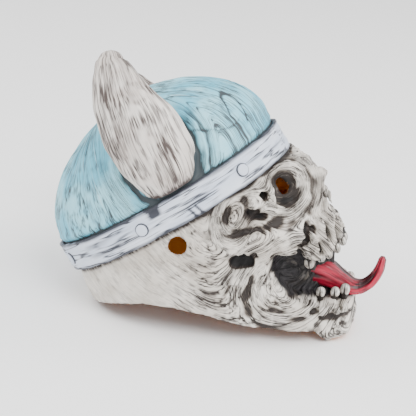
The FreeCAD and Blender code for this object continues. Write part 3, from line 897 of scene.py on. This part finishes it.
def dome_marks(x, a, n):
    """Lines scored in the dome: a leaf on each side of the brow, a smile below it, and two arcs."""
    side = np.abs(x)
    leaf_x, leaf_n = (side - 31) / 11, (n - 57) / 13
    leaf = np.sqrt((leaf_x + 0.5 * leaf_n) ** 2 + (0.55 * leaf_n) ** 2)
    leaf = hill(leaf, 0.8, 0.09) * step(a, 80, 96) * step(leaf_n - leaf_x, -1.4, -0.4)
    smile = hill(n, 49 + 0.024 * (side - 44) ** 2, 1.1) * step(a, 66, 80) * step(side, 30, 36)
    arcs = sum(hill(side, at + 0.10 * (a - 60) * lean, 0.9) for at, lean in ((11, 1), (24, -1)))
    return leaf + smile * 0.5 + 0.6 * arcs * step(a, -20, 10) * step(120 - a, 5, 30) * step(n, 62, 74)


def build_dome(columns, rows):
    """The blue dome: folds down its back, creases and painted shade round the horns' roots, and scored marks.
    """
    turn = np.linspace(0, 2 * math.pi, columns, endpoint=False)
    rise = np.concatenate([[-DOME_TUCK / 60], np.linspace(-0.03, 0.996, rows)])
    outer = helmet_to_level(*dome_point(turn, rise, 0.0))
    inner = helmet_to_level(*dome_point(turn, rise, DOME_WALL))
    normal = grid_normals(outer)
    if (normal[rows // 2] * (outer[rows // 2] - outer.mean((0, 1)))).sum() < 0:
        normal = -normal
    x, f, z = outer[..., 0], outer[..., 1], outer[..., 2]
    a, n = level_to_helmet(f, z)
    up = n - BAND[2]
    meridian = np.broadcast_to(np.minimum(turn, 2 * math.pi - turn) * 95, x.shape)
    mix = step(a, -45, 25)
    across = meridian * (1 - mix) + np.abs(x) * 1.5 * mix
    along = up * 1.2 * (1 - mix) + a * mix
    weight = np.ones(x.shape)
    crease, swell, root_shade = (np.zeros(x.shape) for _ in range(3))
    for side in (-1, 1):
        away = outer - horn_place(HORN_ROOT, side)
        gap = horn_gap(outer, side)
        w = 3.0 * hill(np.maximum(gap, 0), 0, 13)
        across = (across * weight + gap * 1.3 * w) / (weight + w)
        along = (along * weight + np.arctan2(away[..., 1], away[..., 2]) * 34 * w) / (weight + w)
        weight = weight + w
        edge = gap + 4 * (lattice(outer / 8, 3 + side) - 0.5)
        front = step(away[..., 1], -15, 22)
        crease += hill(edge, 2, 2.6) + 0.9 * front * hill(edge, 13, 1.9)
        swell += (hill(edge, 8, 3.2) + 0.8 * hill(edge, 19, 4)) * front
        # Painted shade on the dome round each horn's root, where the horn meets it, stronger in front.
        root_shade += (1 - step(edge, -2, 8)) * (0.5 + 0.5 * front)
    marks = dome_marks(x, a, n)
    warp = layered(outer / 30, 8, 2) - 0.5
    folds = lattice(np.stack([across / 7 + warp * 2.5, along / 70, np.sign(x)], -1), 12)
    wide = layered(outer / 34, 17, 2) - 0.5
    fade = step(up, 0, 6) * step(1 - rise, 0.0, 0.06)[:, None]
    relief = (-3.0 * crease + 3.2 * swell - 1.3 * marks + 2.6 * (folds - 0.5) + 5.0 * wide) * fade
    relief += 1.2 * hill(up, 5, 4) * fade
    # Darkens the folds, creases and marks, and adds the painted shade round the horns' roots.
    cavity = np.clip((0.45 - folds) * 2.0, 0, 1) * 0.6 + crease * 0.8 + root_shade * 0.7 + marks * 0.9
    cavity += 1.1 * hill(np.clip(up, 0, None), 0, 1.8)
    outer = outer + normal * relief[..., None]
    inner = inner + normal * np.minimum(relief, 0)[..., None]
    points = np.concatenate([inner[::-1], outer], 0)
    blank = np.zeros(x.shape)
    layers = {"hollow": (blank, cavity), "inside": (blank + 1, blank), "across": (across[::-1], across),
              "along": (along[::-1], along)}
    attributes = {key: np.concatenate(pair, 0) for key, pair in layers.items()}
    world = to_world(points).reshape(-1, 3)
    faces = grid_faces(len(points), columns)
    last = len(points) - 1
    ob = new_mesh("helmet_dome_cast", world, outward(world, faces), attributes, helmet_material())
    close_ends(ob, columns, last)
    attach(ob, "skull")
    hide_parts("helmet_dome")


def close_ends(ob, columns, last_row):
    """Fills the first and last ring of a grid mesh with one polygon each."""
    bm = bmesh.new()
    bm.from_mesh(ob.data)
    bm.verts.ensure_lookup_table()
    for start in (0, last_row * columns):
        ring = [bm.verts[start + k] for k in range(columns)]
        edge = bm.edges.get((ring[0], ring[1]))
        face = bm.faces.new(ring)
        other = [g for g in edge.link_faces if g is not face]
        if other:
            loop = next(l for l in other[0].loops if l.edge is edge)
            mine = next(l for l in face.loops if l.edge is edge)
            if loop.vert is mine.vert:
                face.normal_flip()
        face.smooth = True
    bm.to_mesh(ob.data)
    bm.free()


def build_band(columns):
    """The brow band: a flat ring with long grain, nicked edges and a torn notch."""
    turn = np.linspace(0, 2 * math.pi, columns, endpoint=False)
    high = BAND[2]
    profile = [(0.0, 0.6), (0.0, 3.0)] + [(0.0, h) for h in np.linspace(4.2, high - 4.2, 13)]
    profile += [(0.0, high - 3.0), (0.0, high - 0.6), (0.7, high), (BAND_WALL - 0.5, high)]
    profile += [(BAND_WALL, high - 0.6), (BAND_WALL, high * 0.5), (BAND_WALL, 0.6)]
    profile += [(BAND_WALL - 0.5, 0.0), (0.7, 0.0)]
    inset = np.array([p[0] for p in profile])[:, None]
    up = np.array([p[1] for p in profile])[:, None] + 0 * turn
    arc = turn * 111.5
    degrees = np.degrees((turn + math.pi) % (2 * math.pi) - math.pi)
    grain = lattice(np.stack([up / 2.4, np.broadcast_to(arc / 34, up.shape), up * 0], -1), 9) - 0.5
    ragged = layered(np.stack([arc / 9, arc * 0, arc * 0], -1), 14, 3) - 0.5
    top = step(up, high - 7, high)
    bottom = step(-up, -6, 0)
    up = up + top * ragged * 1.6 - bottom * np.roll(ragged, 50) * 1.4
    notch = np.exp(-(np.abs(degrees + 80.3) / 3.0) ** 4)
    depth = notch * step(up, high - 9, high - 2) * 2.6
    crack = sum(hill(degrees + (up - 3) * 0.16, place, 0.55) for place in (-62.5, -65.6))
    crack = crack * (1 - step(up, 8.5, 11.5))
    out = (inset < 0.5) * (grain - depth - crack * 1.4)
    half_x, half_a = BAND[0] - inset, BAND[1] - inset
    x, a = half_x * np.sin(turn), half_a * np.cos(turn)
    nx, na = np.sin(turn) / half_x, np.cos(turn) / half_a
    size = np.hypot(nx, na)
    x, a = x + out * nx / size, a + out * na / size
    points = helmet_to_level(x, a, up)
    edge = hill(up, 0.2, 1.1) + hill(up, high - 0.2, 1.1)
    hollow = (edge * 0.9 + crack * 1.1 + notch * step(up, high - 10.5, high - 8) * 1.2
              + np.clip(-grain * 2 - 0.25, 0, 1)) * (inset < 1.0) + 0.9 * (inset > 3.0)
    world = to_world(points).reshape(-1, 3)
    attributes = {"hollow": hollow, "inside": (inset > 4.0) & (up < high - 1.5), "across": up,
                  "along": np.broadcast_to(arc, up.shape)}
    faces = outward(world, grid_faces(len(profile), columns, True))
    ob = new_mesh("helmet_band_cast", world, faces, attributes, band_material())
    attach(ob, "skull")
    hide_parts("helmet_band")


# ---- horns and tongue, swept along stations -------------------------------------------------------
def sweep(centres, side_axis, half_width, half_thick, columns):
    """Rings round a path. Returns points, the ring angles, and distance along the path."""
    tangent = np.gradient(centres, axis=0)
    tangent /= np.linalg.norm(tangent, axis=1, keepdims=True)
    across = np.asarray(side_axis, float) - (tangent @ side_axis)[:, None] * tangent
    across /= np.linalg.norm(across, axis=1, keepdims=True)
    lift = np.cross(across, tangent)
    angle = np.linspace(0, 2 * math.pi, columns, endpoint=False)
    ring = (half_width[:, None, None] * np.cos(angle)[None, :, None] * across[:, None]
            + half_thick[:, None, None] * np.sin(angle)[None, :, None] * lift[:, None])
    travel = np.concatenate([[0], np.cumsum(np.linalg.norm(np.diff(centres, axis=0), axis=1))])
    return centres[:, None] + ring, angle, travel


def build_horn(side, rows, columns):
    """One horn: a fat curved cone, grooved from root to tip."""
    slim = LEFT_SLIM if side > 0 else 1.0
    stations = np.array([horn_place(place, side) for place, _ in HORN])
    radii = np.array([radius for _, radius in HORN]) * slim
    keys = np.arange(len(HORN), dtype=float)
    t = np.linspace(0, len(HORN) - 1, rows)
    centres = hermite(t, keys, stations)
    radius = np.interp(t, keys, radii)
    radius = np.convolve(np.pad(radius, 4, "edge"), np.ones(9) / 9, "valid")
    first, last = centres[0] - centres[1], centres[-1] - centres[-2]
    first, last = first / np.linalg.norm(first), last / np.linalg.norm(last)
    cap = np.linspace(math.pi / 2, 0, 9)[:-1]
    butt = centres[0] + first * (np.sin(cap) * 17.0)[:, None]
    tip = centres[-1] + last * (np.sin(cap[::-1]) * radius[-1])[:, None]
    centres = np.concatenate([butt, centres, tip])
    radius = np.concatenate([radius[0] * np.cos(cap) + 0.05, radius, radius[-1] * np.cos(cap[::-1]) + 0.05])
    points, angle, travel = sweep(centres, np.array([0.0, 1.0, 0.0]), radius, radius, columns)
    normal = points - centres[:, None]
    normal /= np.maximum(np.linalg.norm(normal, axis=-1, keepdims=True), 1e-6)
    circle = np.stack([np.cos(angle), np.sin(angle)], -1)
    seat = np.broadcast_to(circle[None], points.shape[:2] + (2,))
    along = np.broadcast_to(travel[:, None], points.shape[:2])
    twist = 0.9 * (lattice(points / 40, 60 + side) - 0.5)[..., None]
    groove, fine = (
        lattice(np.concatenate([seat * ribs + twist, along[..., None] / length], -1) + 9, seed + side)
        for ribs, length, seed in ((4.6, 60, 70), (10.5, 30, 80)))
    lumps = layered(points / 22, 90 + side, 2)
    relief = (groove - 0.5) * 2.8 + (fine - 0.5) * 1.6 + (lumps - 0.5) * 2.6
    relief *= np.clip(radius / 14, 0.15, 1)[:, None]
    points = points + normal * relief[..., None]
    a, n = level_to_helmet(points[..., 1], points[..., 2])
    n = np.where(n < BAND[2] + 4, BAND[2] + 1.6 + 2.4 * np.exp((n - BAND[2] - 4) / 8), n)
    points = helmet_to_level(points[..., 0], a, n)
    hollow = np.clip((0.4 - groove) * 2.0, 0, 1) * 0.8 + np.clip((0.45 - fine) * 2.0, 0, 1) * 0.6
    # Painted shade on the lowest part of the horn, where it meets the dome above the band.
    hollow += hill(n, BAND[2] + 2, 5.0) * 0.9
    spot = np.linalg.norm(points - horn_place((86, -76, 244), side), axis=-1)
    hollow += 0.8 * hill(spot, 0, 7)
    across = np.broadcast_to(np.abs(angle - math.pi) * 30, along.shape)
    attributes = {"hollow": hollow, "across": across, "along": along}
    name = "horn_left" if side > 0 else "horn_right"
    world = to_world(points).reshape(-1, 3)
    ob = new_mesh(name + "_cast", world, outward(world, grid_faces(len(points), columns)), attributes,
                  bpy.data.materials.get("horn_paint") or horn_material())
    close_ends(ob, columns, len(points) - 1)
    root = horn_place(HORN_ROOT, side)
    onward = stations[2] - root
    onward /= np.linalg.norm(onward)
    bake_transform(ob)
    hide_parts(name, name.replace("horn_", "horn_collar_"))


def build_tongue(columns):
    """The tongue in two lengths, which meet where the middle piece is rigid."""
    keys = np.arange(len(TONGUE), dtype=float)
    places = np.array([(0.0, *place) for place, _, _ in TONGUE])
    sizes = np.array([(w, h) for _, w, h in TONGUE])
    spans = (("tongue_root_cast", 0.0, TONGUE_SPLIT, ("tongue_root",), ("jaw", "tongue_middle"), (3.4, 4.45)),
             ("tongue_tip_cast", TONGUE_SPLIT, keys[-1], ("tongue_middle", "tongue_tip"),
              ("tongue_middle", "tongue_tip"), (4.6, 5.6)))
    material = tongue_material()
    for name, low, high, nodes, bodies, bend in spans:
        t = np.linspace(low, high, 70)
        centres = hermite(t, keys, places)
        size = hermite(t, keys, sizes)
        centres[:, 0] += 1.2 * np.sin(t * 1.3)
        if high == keys[-1]:
            onward = centres[-1] - centres[-2]
            onward /= np.linalg.norm(onward)
            cap = np.linspace(0, math.pi / 2, 9)[1:]
            centres = np.concatenate([centres, centres[-1] + onward * (np.sin(cap) * 4.0)[:, None]])
            size = np.concatenate([size, size[-1] * np.cos(cap)[:, None] + 0.05])
            t = np.concatenate([t, high + np.sin(cap) * 0.4])
        points, angle, _ = sweep(centres, np.array([1.0, 0.0, 0.0]), size[:, 0], size[:, 1], columns)
        normal = points - centres[:, None]
        normal /= np.maximum(np.linalg.norm(normal, axis=-1, keepdims=True), 1e-6)
        circle = np.broadcast_to(np.stack([np.cos(angle), np.sin(angle)], -1)[None], points.shape[:2] + (2,))
        length = np.broadcast_to(t[:, None], points.shape[:2]) * 11
        crease = lattice(np.concatenate([circle * 2.6, length[..., None] / 30], -1) + 7, 40)
        fine = lattice(np.concatenate([circle * 5.5, length[..., None] / 16], -1) + 7, 41)
        middle = hill(np.sin(angle), -1, 0.16) + hill(np.sin(angle), 1, 0.16)
        relief = (crease - 0.5) * 3.4 + (fine - 0.5) * 1.5 - middle * 1.1
        relief = relief * np.clip(size[:, :1] / 9, 0.1, 1)
        points = points + normal * relief[..., None]
        hollow = np.clip((0.5 - crease) * 2.4, 0, 1) + np.clip((0.5 - fine) * 1.6, 0, 1) * 0.5 + middle * 0.5
        throat = 1 - step(points[..., 1], 92, 112)
        attributes = {"hollow": hollow, "mouth": throat, "across": circle[..., 0] * 12 + circle[..., 1] * 5,
                      "along": length}
        world = to_world(points).reshape(-1, 3)
        ob = new_mesh(name, world, outward(world, grid_faces(len(points), columns)), attributes, material)
        close_ends(ob, columns, len(points) - 1)
        start, end = (to_world(hermite(np.array([b]), keys, places)[0]) for b in bend)
        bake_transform(ob)
        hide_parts(*nodes)


# ---- teeth and rivets, instanced ------------------------------------------------------------------
def tooth_master(columns=20, rows=16):
    """One tooth, root at the origin, growing one unit along +Z, a fluted peg with a round crown."""
    t = np.linspace(0, 1, rows)[:, None]
    angle = np.linspace(0, 2 * math.pi, columns, endpoint=False)[None]
    crown = np.sqrt(np.clip(1 - np.clip((t - 0.62) / 0.38, 0, 1) ** 2, 0, 1))
    radius = crown * (0.72 + 0.28 * step(t, 0.2, 0.55))
    flute = 1 - 0.13 * np.clip(np.cos(angle * 4), 0, 1) ** 3 * (1 - 0.3 * t)
    x, y = radius * np.cos(angle) * flute + 1e-3, radius * np.sin(angle) * flute + 1e-3
    points = np.stack([x, y, t + 0 * angle], -1).reshape(-1, 3)
    hollow = np.clip(np.cos(angle * 4), 0, 1) ** 4 * 0.9 + 1.2 * (1 - step(t, 0.25, 0.5))
    attributes = {"hollow": hollow, "across": angle * 3 + 0 * t, "along": t * 10 + 0 * angle}
    faces = outward(points, grid_faces(rows, columns))
    ob = new_mesh("tooth_master", points, faces, attributes, tooth_material())
    close_ends(ob, columns, rows - 1)
    return ob


def rivet_master(columns=28):
    """One rivet head, standing one unit out along +Z, with an inked foot."""
    profile = [(1.16, -0.6), (1.15, 0.2), (1.1, 0.3), (1.0, 0.3), (0.98, 0.6), (0.88, 0.8), (0.65, 0.92),
               (0.02, 1.0)]
    ink = [1.2, 1.2, 1.2, 1.2, 0.2, 0.0, 0.0, 0.0]
    angle = np.linspace(0, 2 * math.pi, columns, endpoint=False)
    points = np.array([[(r * math.cos(v), r * math.sin(v), h) for v in angle] for r, h in profile])
    hollow = np.array(ink)[:, None] + 0 * angle
    attributes = {"hollow": hollow, "inside": hollow * 0, "across": hollow * 0 + 40,
                  "along": points[..., 0] * 4}
    flat = points.reshape(-1, 3)
    ob = new_mesh("rivet_master", flat, outward(flat, grid_faces(len(profile), columns)), attributes,
                  bpy.data.materials["band_paint"])
    close_ends(ob, columns, len(profile) - 1)
    return ob


def named_vector(nodes, key):
    """The output of a node that reads a vector attribute."""
    read = nodes.new("GeometryNodeInputNamedAttribute")
    read.data_type = "FLOAT_VECTOR"
    read.inputs["Name"].default_value = key
    return read.outputs["Attribute"]


def scatter_group(name, material):
    """Node group: puts a master mesh on points, turned and sized by each point's attributes."""
    group = bpy.data.node_groups.new(name, "GeometryNodeTree")
    face = group.interface
    face.new_socket("Points", in_out="INPUT", socket_type="NodeSocketGeometry")
    face.new_socket("Master", in_out="INPUT", socket_type="NodeSocketObject")
    face.new_socket("Size Spread", in_out="INPUT", socket_type="NodeSocketFloat")
    face.new_socket("Seed", in_out="INPUT", socket_type="NodeSocketInt")
    face.new_socket("Geometry", in_out="OUTPUT", socket_type="NodeSocketGeometry")
    nodes, links = group.nodes, group.links
    entry, leave = nodes.new("NodeGroupInput"), nodes.new("NodeGroupOutput")
    info = nodes.new("GeometryNodeObjectInfo")
    info.inputs["As Instance"].default_value = True
    links.new(entry.outputs["Master"], info.inputs["Object"])
    place = nodes.new("GeometryNodeInstanceOnPoints")
    links.new(entry.outputs["Points"], place.inputs["Points"])
    links.new(info.outputs["Geometry"], place.inputs["Instance"])
    turn = nodes.new("FunctionNodeAlignRotationToVector")
    turn.axis = "Z"
    links.new(named_vector(nodes, "aim"), turn.inputs["Vector"])
    links.new(turn.outputs["Rotation"], place.inputs["Rotation"])
    random = nodes.new("FunctionNodeRandomValue")
    random.data_type = "FLOAT"
    links.new(entry.outputs["Seed"], random.inputs["Seed"])
    low, high = nodes.new("ShaderNodeMath"), nodes.new("ShaderNodeMath")
    low.operation, high.operation = "SUBTRACT", "ADD"
    for node, key in ((low, 2), (high, 3)):
        node.inputs[0].default_value = 1.0
        links.new(entry.outputs["Size Spread"], node.inputs[1])
        links.new(node.outputs[0], random.inputs[key])
    scale = nodes.new("ShaderNodeVectorMath")
    scale.operation = "SCALE"
    links.new(named_vector(nodes, "size"), scale.inputs[0])
    links.new(random.outputs[1], scale.inputs["Scale"])
    links.new(scale.outputs[0], place.inputs["Scale"])
    real = nodes.new("GeometryNodeRealizeInstances")
    paint = nodes.new("GeometryNodeSetMaterial")
    paint.inputs["Material"].default_value = material
    links.new(place.outputs["Instances"], real.inputs[0])
    links.new(real.outputs[0], paint.inputs["Geometry"])
    links.new(paint.outputs[0], leave.inputs["Geometry"])
    return group


def scatter(name, points, aims, sizes, master, spread, seed):
    """Realized copies of a master mesh as one object."""
    mesh = bpy.data.meshes.new(name + "_points")
    mesh.from_pydata([tuple(p) for p in points], [], [])
    for key, values in (("aim", aims), ("size", sizes)):
        layer = mesh.attributes.new(key, "FLOAT_VECTOR", "POINT")
        layer.data.foreach_set("vector", np.asarray(values, np.float32).ravel())
    carrier = bpy.data.objects.new(name + "_points", mesh)
    bpy.context.scene.collection.objects.link(carrier)
    modifier = carrier.modifiers.new("Scatter", "NODES")
    modifier.node_group = scatter_group(name + "_scatter", master.data.materials[0])
    for item in modifier.node_group.interface.items_tree:
        value = {"Master": master, "Size Spread": spread, "Seed": seed}.get(item.name)
        if value is not None:
            modifier[item.identifier] = value
    bpy.context.view_layer.update()
    depsgraph = bpy.context.evaluated_depsgraph_get()
    made = bpy.data.meshes.new_from_object(carrier.evaluated_get(depsgraph), depsgraph=depsgraph)
    bpy.data.objects.remove(carrier)
    ob = bpy.data.objects.new(name, made)
    bpy.context.scene.collection.objects.link(ob)
    return ob


def build_teeth(table, grow, body, name, jaw, spread, seed):
    """One jaw's teeth, the same on both sides, growing up or down."""
    master = tooth_master()
    points, aims, sizes, nodes = [], [], [], []
    for side, word in ((-1, "right"), (1, "left")):
        for index, (root, length, radius, lean) in enumerate(table):
            start = to_world((root[0] * side, root[1], root[2]))
            aim = to_world((0, lean, grow)) - to_world((0, 0, 0))
            points.append(start)
            aims.append(aim / np.linalg.norm(aim))
            sizes.append((radius / 1000, radius / 1000, length / 1000))
            nodes.append(f"{jaw}_tooth_{word}_{index + 1}")
    ob = scatter(name, points, aims, sizes, master, spread, seed)
    bpy.data.objects.remove(master)
    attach(ob, body)
    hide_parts(*nodes)


def build_rivets():
    """Rivet heads round the band, standing square to it."""
    master = rivet_master()
    points, aims = [], []
    for degrees in RIVET_TURNS:
        turn = math.radians(degrees)
        x, a = BAND[0] * math.sin(turn), BAND[1] * math.cos(turn)
        out = np.array([x / BAND[0] ** 2, a / BAND[1] ** 2])
        out /= np.linalg.norm(out)
        foot = helmet_to_level(np.array(x), np.array(a), np.array(BAND[2] / 2))
        end = helmet_to_level(np.array(x + out[0]), np.array(a + out[1]), np.array(BAND[2] / 2))
        points.append(to_world(foot))
        aims.append((to_world(end) - to_world(foot)) * 1000)
    sizes = [(RIVET_R / 1000, RIVET_R / 1000, 0.0026)] * len(points)
    ob = scatter("band_rivets_cast", points, aims, sizes, master, 0.03, 4)
    bpy.data.objects.remove(master)
    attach(ob, "skull")
    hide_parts(*[f"band_rivet_{i + 1}" for i in range(len(RIVET_TURNS))])


# ---- stage ------------------------------------------------------------------------------------------
def build_camera():
    """A camera that stands round the level head's own upright."""
    azimuth, elevation = math.radians(CAMERA_TURN), math.radians(CAMERA_RISE)
    back = np.array([math.sin(azimuth) * math.cos(elevation), -math.cos(azimuth) * math.cos(elevation),
                     math.sin(elevation)])
    right = np.array([math.cos(azimuth), math.sin(azimuth), 0.0])
    up = np.cross(back, right)
    target = np.array([0.0, 0.0, CAMERA_TARGET])

    def level(place):
        return to_world((place[0], -place[1], place[2]))

    axes = [(level(target + v * 100) - level(target)) * 10 for v in (right, up, back)]
    camera = bpy.data.cameras.new("camera")
    camera.lens = CAMERA_LENS
    camera.sensor_width = 36.0
    ob = bpy.data.objects.new("camera", camera)
    bpy.context.scene.collection.objects.link(ob)
    turn = Matrix([list(row) for row in np.array(axes).T]).to_4x4()
    ob.matrix_world = Matrix.Translation(Vector(level(target + back * CAMERA_DISTANCE))) @ turn
    bpy.context.scene.camera = ob


def build_stage(key, fill):
    """Floor, three soft lights and an even light from all round."""
    floor = plain_material("floor", (0.97, 0.97, 0.97, 1.0), 0.9)
    half = 6.0
    corners = [(-half, -half, 0.0), (half, -half, 0.0), (half, half, 0.0), (-half, half, 0.0)]
    new_mesh("floor", corners, [(0, 1, 2, 3)], {}, floor)
    lights = (("key", (-1.0, -0.9, 1.6), key, 1.2), ("front", (0.7, -1.6, 1.0), key * 0.5, 1.2),
              ("back", (-0.4, 1.5, 1.4), key * 0.5, 1.0))
    for name, place, power, size in lights:
        data = bpy.data.lights.new(name, "AREA")
        data.energy = power
        data.shape = "DISK"
        data.size = size
        ob = bpy.data.objects.new(name, data)
        ob.location = place
        ob.rotation_euler = (Vector((0, 0, 0.12)) - Vector(place)).to_track_quat("-Z", "Y").to_euler()
        bpy.context.scene.collection.objects.link(ob)
    world = bpy.data.worlds.new("studio")
    world.use_nodes = True
    world.node_tree.nodes["Background"].inputs[0].default_value = (1, 1, 1, 1)
    world.node_tree.nodes["Background"].inputs[1].default_value = fill
    bpy.context.scene.world = world


# ---- add-on -------------------------------------------------------------------------------------------
def paint_colour(name, description, red, green, blue):
    """A colour property, its default from display values out of 255."""
    return FloatVectorProperty(name=name, description=description, default=rgb(red, green, blue), size=4,
                               subtype="COLOR", min=0.0, max=1.0)


class MaskSettings(bpy.types.PropertyGroup):
    """Sizes, colours and lights that a user would change"""
    voxel: FloatProperty(name="Sculpt Voxel", description="Grid size of the skull's field, in millimetres",
                         default=1.8, min=1.0, max=4.0)
    dome_columns: IntProperty(name="Dome Columns", description="Mesh columns round the dome", default=420)
    dome_rows: IntProperty(name="Dome Rows", description="Mesh rows up the dome", default=130)
    band_columns: IntProperty(name="Band Columns", description="Mesh columns round the band", default=720)
    horn_rows: IntProperty(name="Horn Rows", description="Mesh rows along a horn", default=110)
    horn_columns: IntProperty(name="Horn Columns", description="Mesh columns round a horn", default=120)
    tongue_columns: IntProperty(name="Tongue Columns", description="Mesh columns round the tongue",
                                default=72)
    tooth_spread: FloatProperty(name="Tooth Spread", description="Random spread of the teeth's size",
                                default=0.1)
    bone: paint_colour("Bone", "Light tone of the skull's paint", 218, 212, 203)
    latex: paint_colour("Latex", "Bare latex inside the mask", 206, 128, 34)
    helmet: paint_colour("Helmet", "Light tone of the dome's blue", 146, 205, 219)
    band: paint_colour("Band", "Light tone of the band's grey", 212, 218, 230)
    horn: paint_colour("Horn", "Light tone of the horns", 222, 216, 209)
    tongue: paint_colour("Tongue", "Light tone of the tongue", 180, 34, 62)
    tooth: paint_colour("Tooth", "Light tone of the teeth", 226, 222, 214)
    key_power: FloatProperty(name="Key Power", description="Power of the key light", default=42.0,
                             subtype="POWER")
    fill: FloatProperty(name="Fill", description="Strength of the even light from all round", default=1.35)
    quick: BoolProperty(name="Quick", description="Coarser skins, for a fast look", default=False)


class MASK_OT_skins(bpy.types.Operator):
    """Build the skull skin, jaw skin and mouth lining"""
    bl_idname = "mask.skins"
    bl_label = "Skins"

    def execute(self, context):
        settings = context.scene.mask
        build_skins(settings.voxel * (1.5 if settings.quick else 1.0))
        return {"FINISHED"}


class MASK_OT_helmet(bpy.types.Operator):
    """Build the dome, band and rivets"""
    bl_idname = "mask.helmet"
    bl_label = "Helmet"

    def execute(self, context):
        settings = context.scene.mask
        build_dome(settings.dome_columns, settings.dome_rows)
        build_band(settings.band_columns)
        build_rivets()
        return {"FINISHED"}


class MASK_OT_horns(bpy.types.Operator):
    """Build both horns"""
    bl_idname = "mask.horns"
    bl_label = "Horns"

    def execute(self, context):
        settings = context.scene.mask
        for side in (-1, 1):
            build_horn(side, settings.horn_rows, settings.horn_columns)
        core = plain_material("foam", rgb(214, 200, 160), 0.9)
        for name in ("horn_core_right", "horn_core_left"):
            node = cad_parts[name].data
            node.materials.clear()
            node.materials.append(core)
        return {"FINISHED"}


class MASK_OT_mouth(bpy.types.Operator):
    """Build the tongue and the teeth"""
    bl_idname = "mask.mouth"
    bl_label = "Mouth"

    def execute(self, context):
        settings = context.scene.mask
        build_tongue(settings.tongue_columns)
        build_teeth(UPPER_TEETH, -1, "skull", "upper_teeth_cast", "upper", settings.tooth_spread, 3)
        build_teeth(LOWER_TEETH, 1, "jaw", "lower_teeth_cast", "lower", settings.tooth_spread, 8)
        return {"FINISHED"}


class MASK_OT_stage(bpy.types.Operator):
    """Set up the floor, lights and camera"""
    bl_idname = "mask.stage"
    bl_label = "Stage"

    def execute(self, context):
        settings = context.scene.mask
        build_stage(settings.key_power, settings.fill)
        build_camera()
        return {"FINISHED"}


class MASK_PT_panel(bpy.types.Panel):
    """Sidebar panel of the mask"""
    bl_idname = "MASK_PT_panel"
    bl_label = "Horned Skull Mask"
    bl_space_type = "VIEW_3D"
    bl_region_type = "UI"
    bl_category = "Mask"

    def draw(self, context):
        layout = self.layout
        settings = context.scene.mask
        for key in MaskSettings.__annotations__:
            layout.prop(settings, key)
        for operator in OPERATORS:
            layout.operator(operator.bl_idname)


OPERATORS = (MASK_OT_skins, MASK_OT_helmet, MASK_OT_horns, MASK_OT_mouth, MASK_OT_stage)
CLASSES = (MaskSettings, *OPERATORS, MASK_PT_panel)


def register():
    for cls in CLASSES:
        bpy.utils.register_class(cls)
    bpy.types.Scene.mask = PointerProperty(type=MaskSettings)


def unregister():
    del bpy.types.Scene.mask
    for cls in reversed(CLASSES):
        bpy.utils.unregister_class(cls)


def main():
    register()
    bpy.context.scene.mask.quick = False
    bpy.ops.mask.skins()
    bpy.ops.mask.helmet()
    bpy.ops.mask.horns()
    bpy.ops.mask.mouth()
    bpy.ops.mask.stage()


if __name__ == "__main__":
    main()
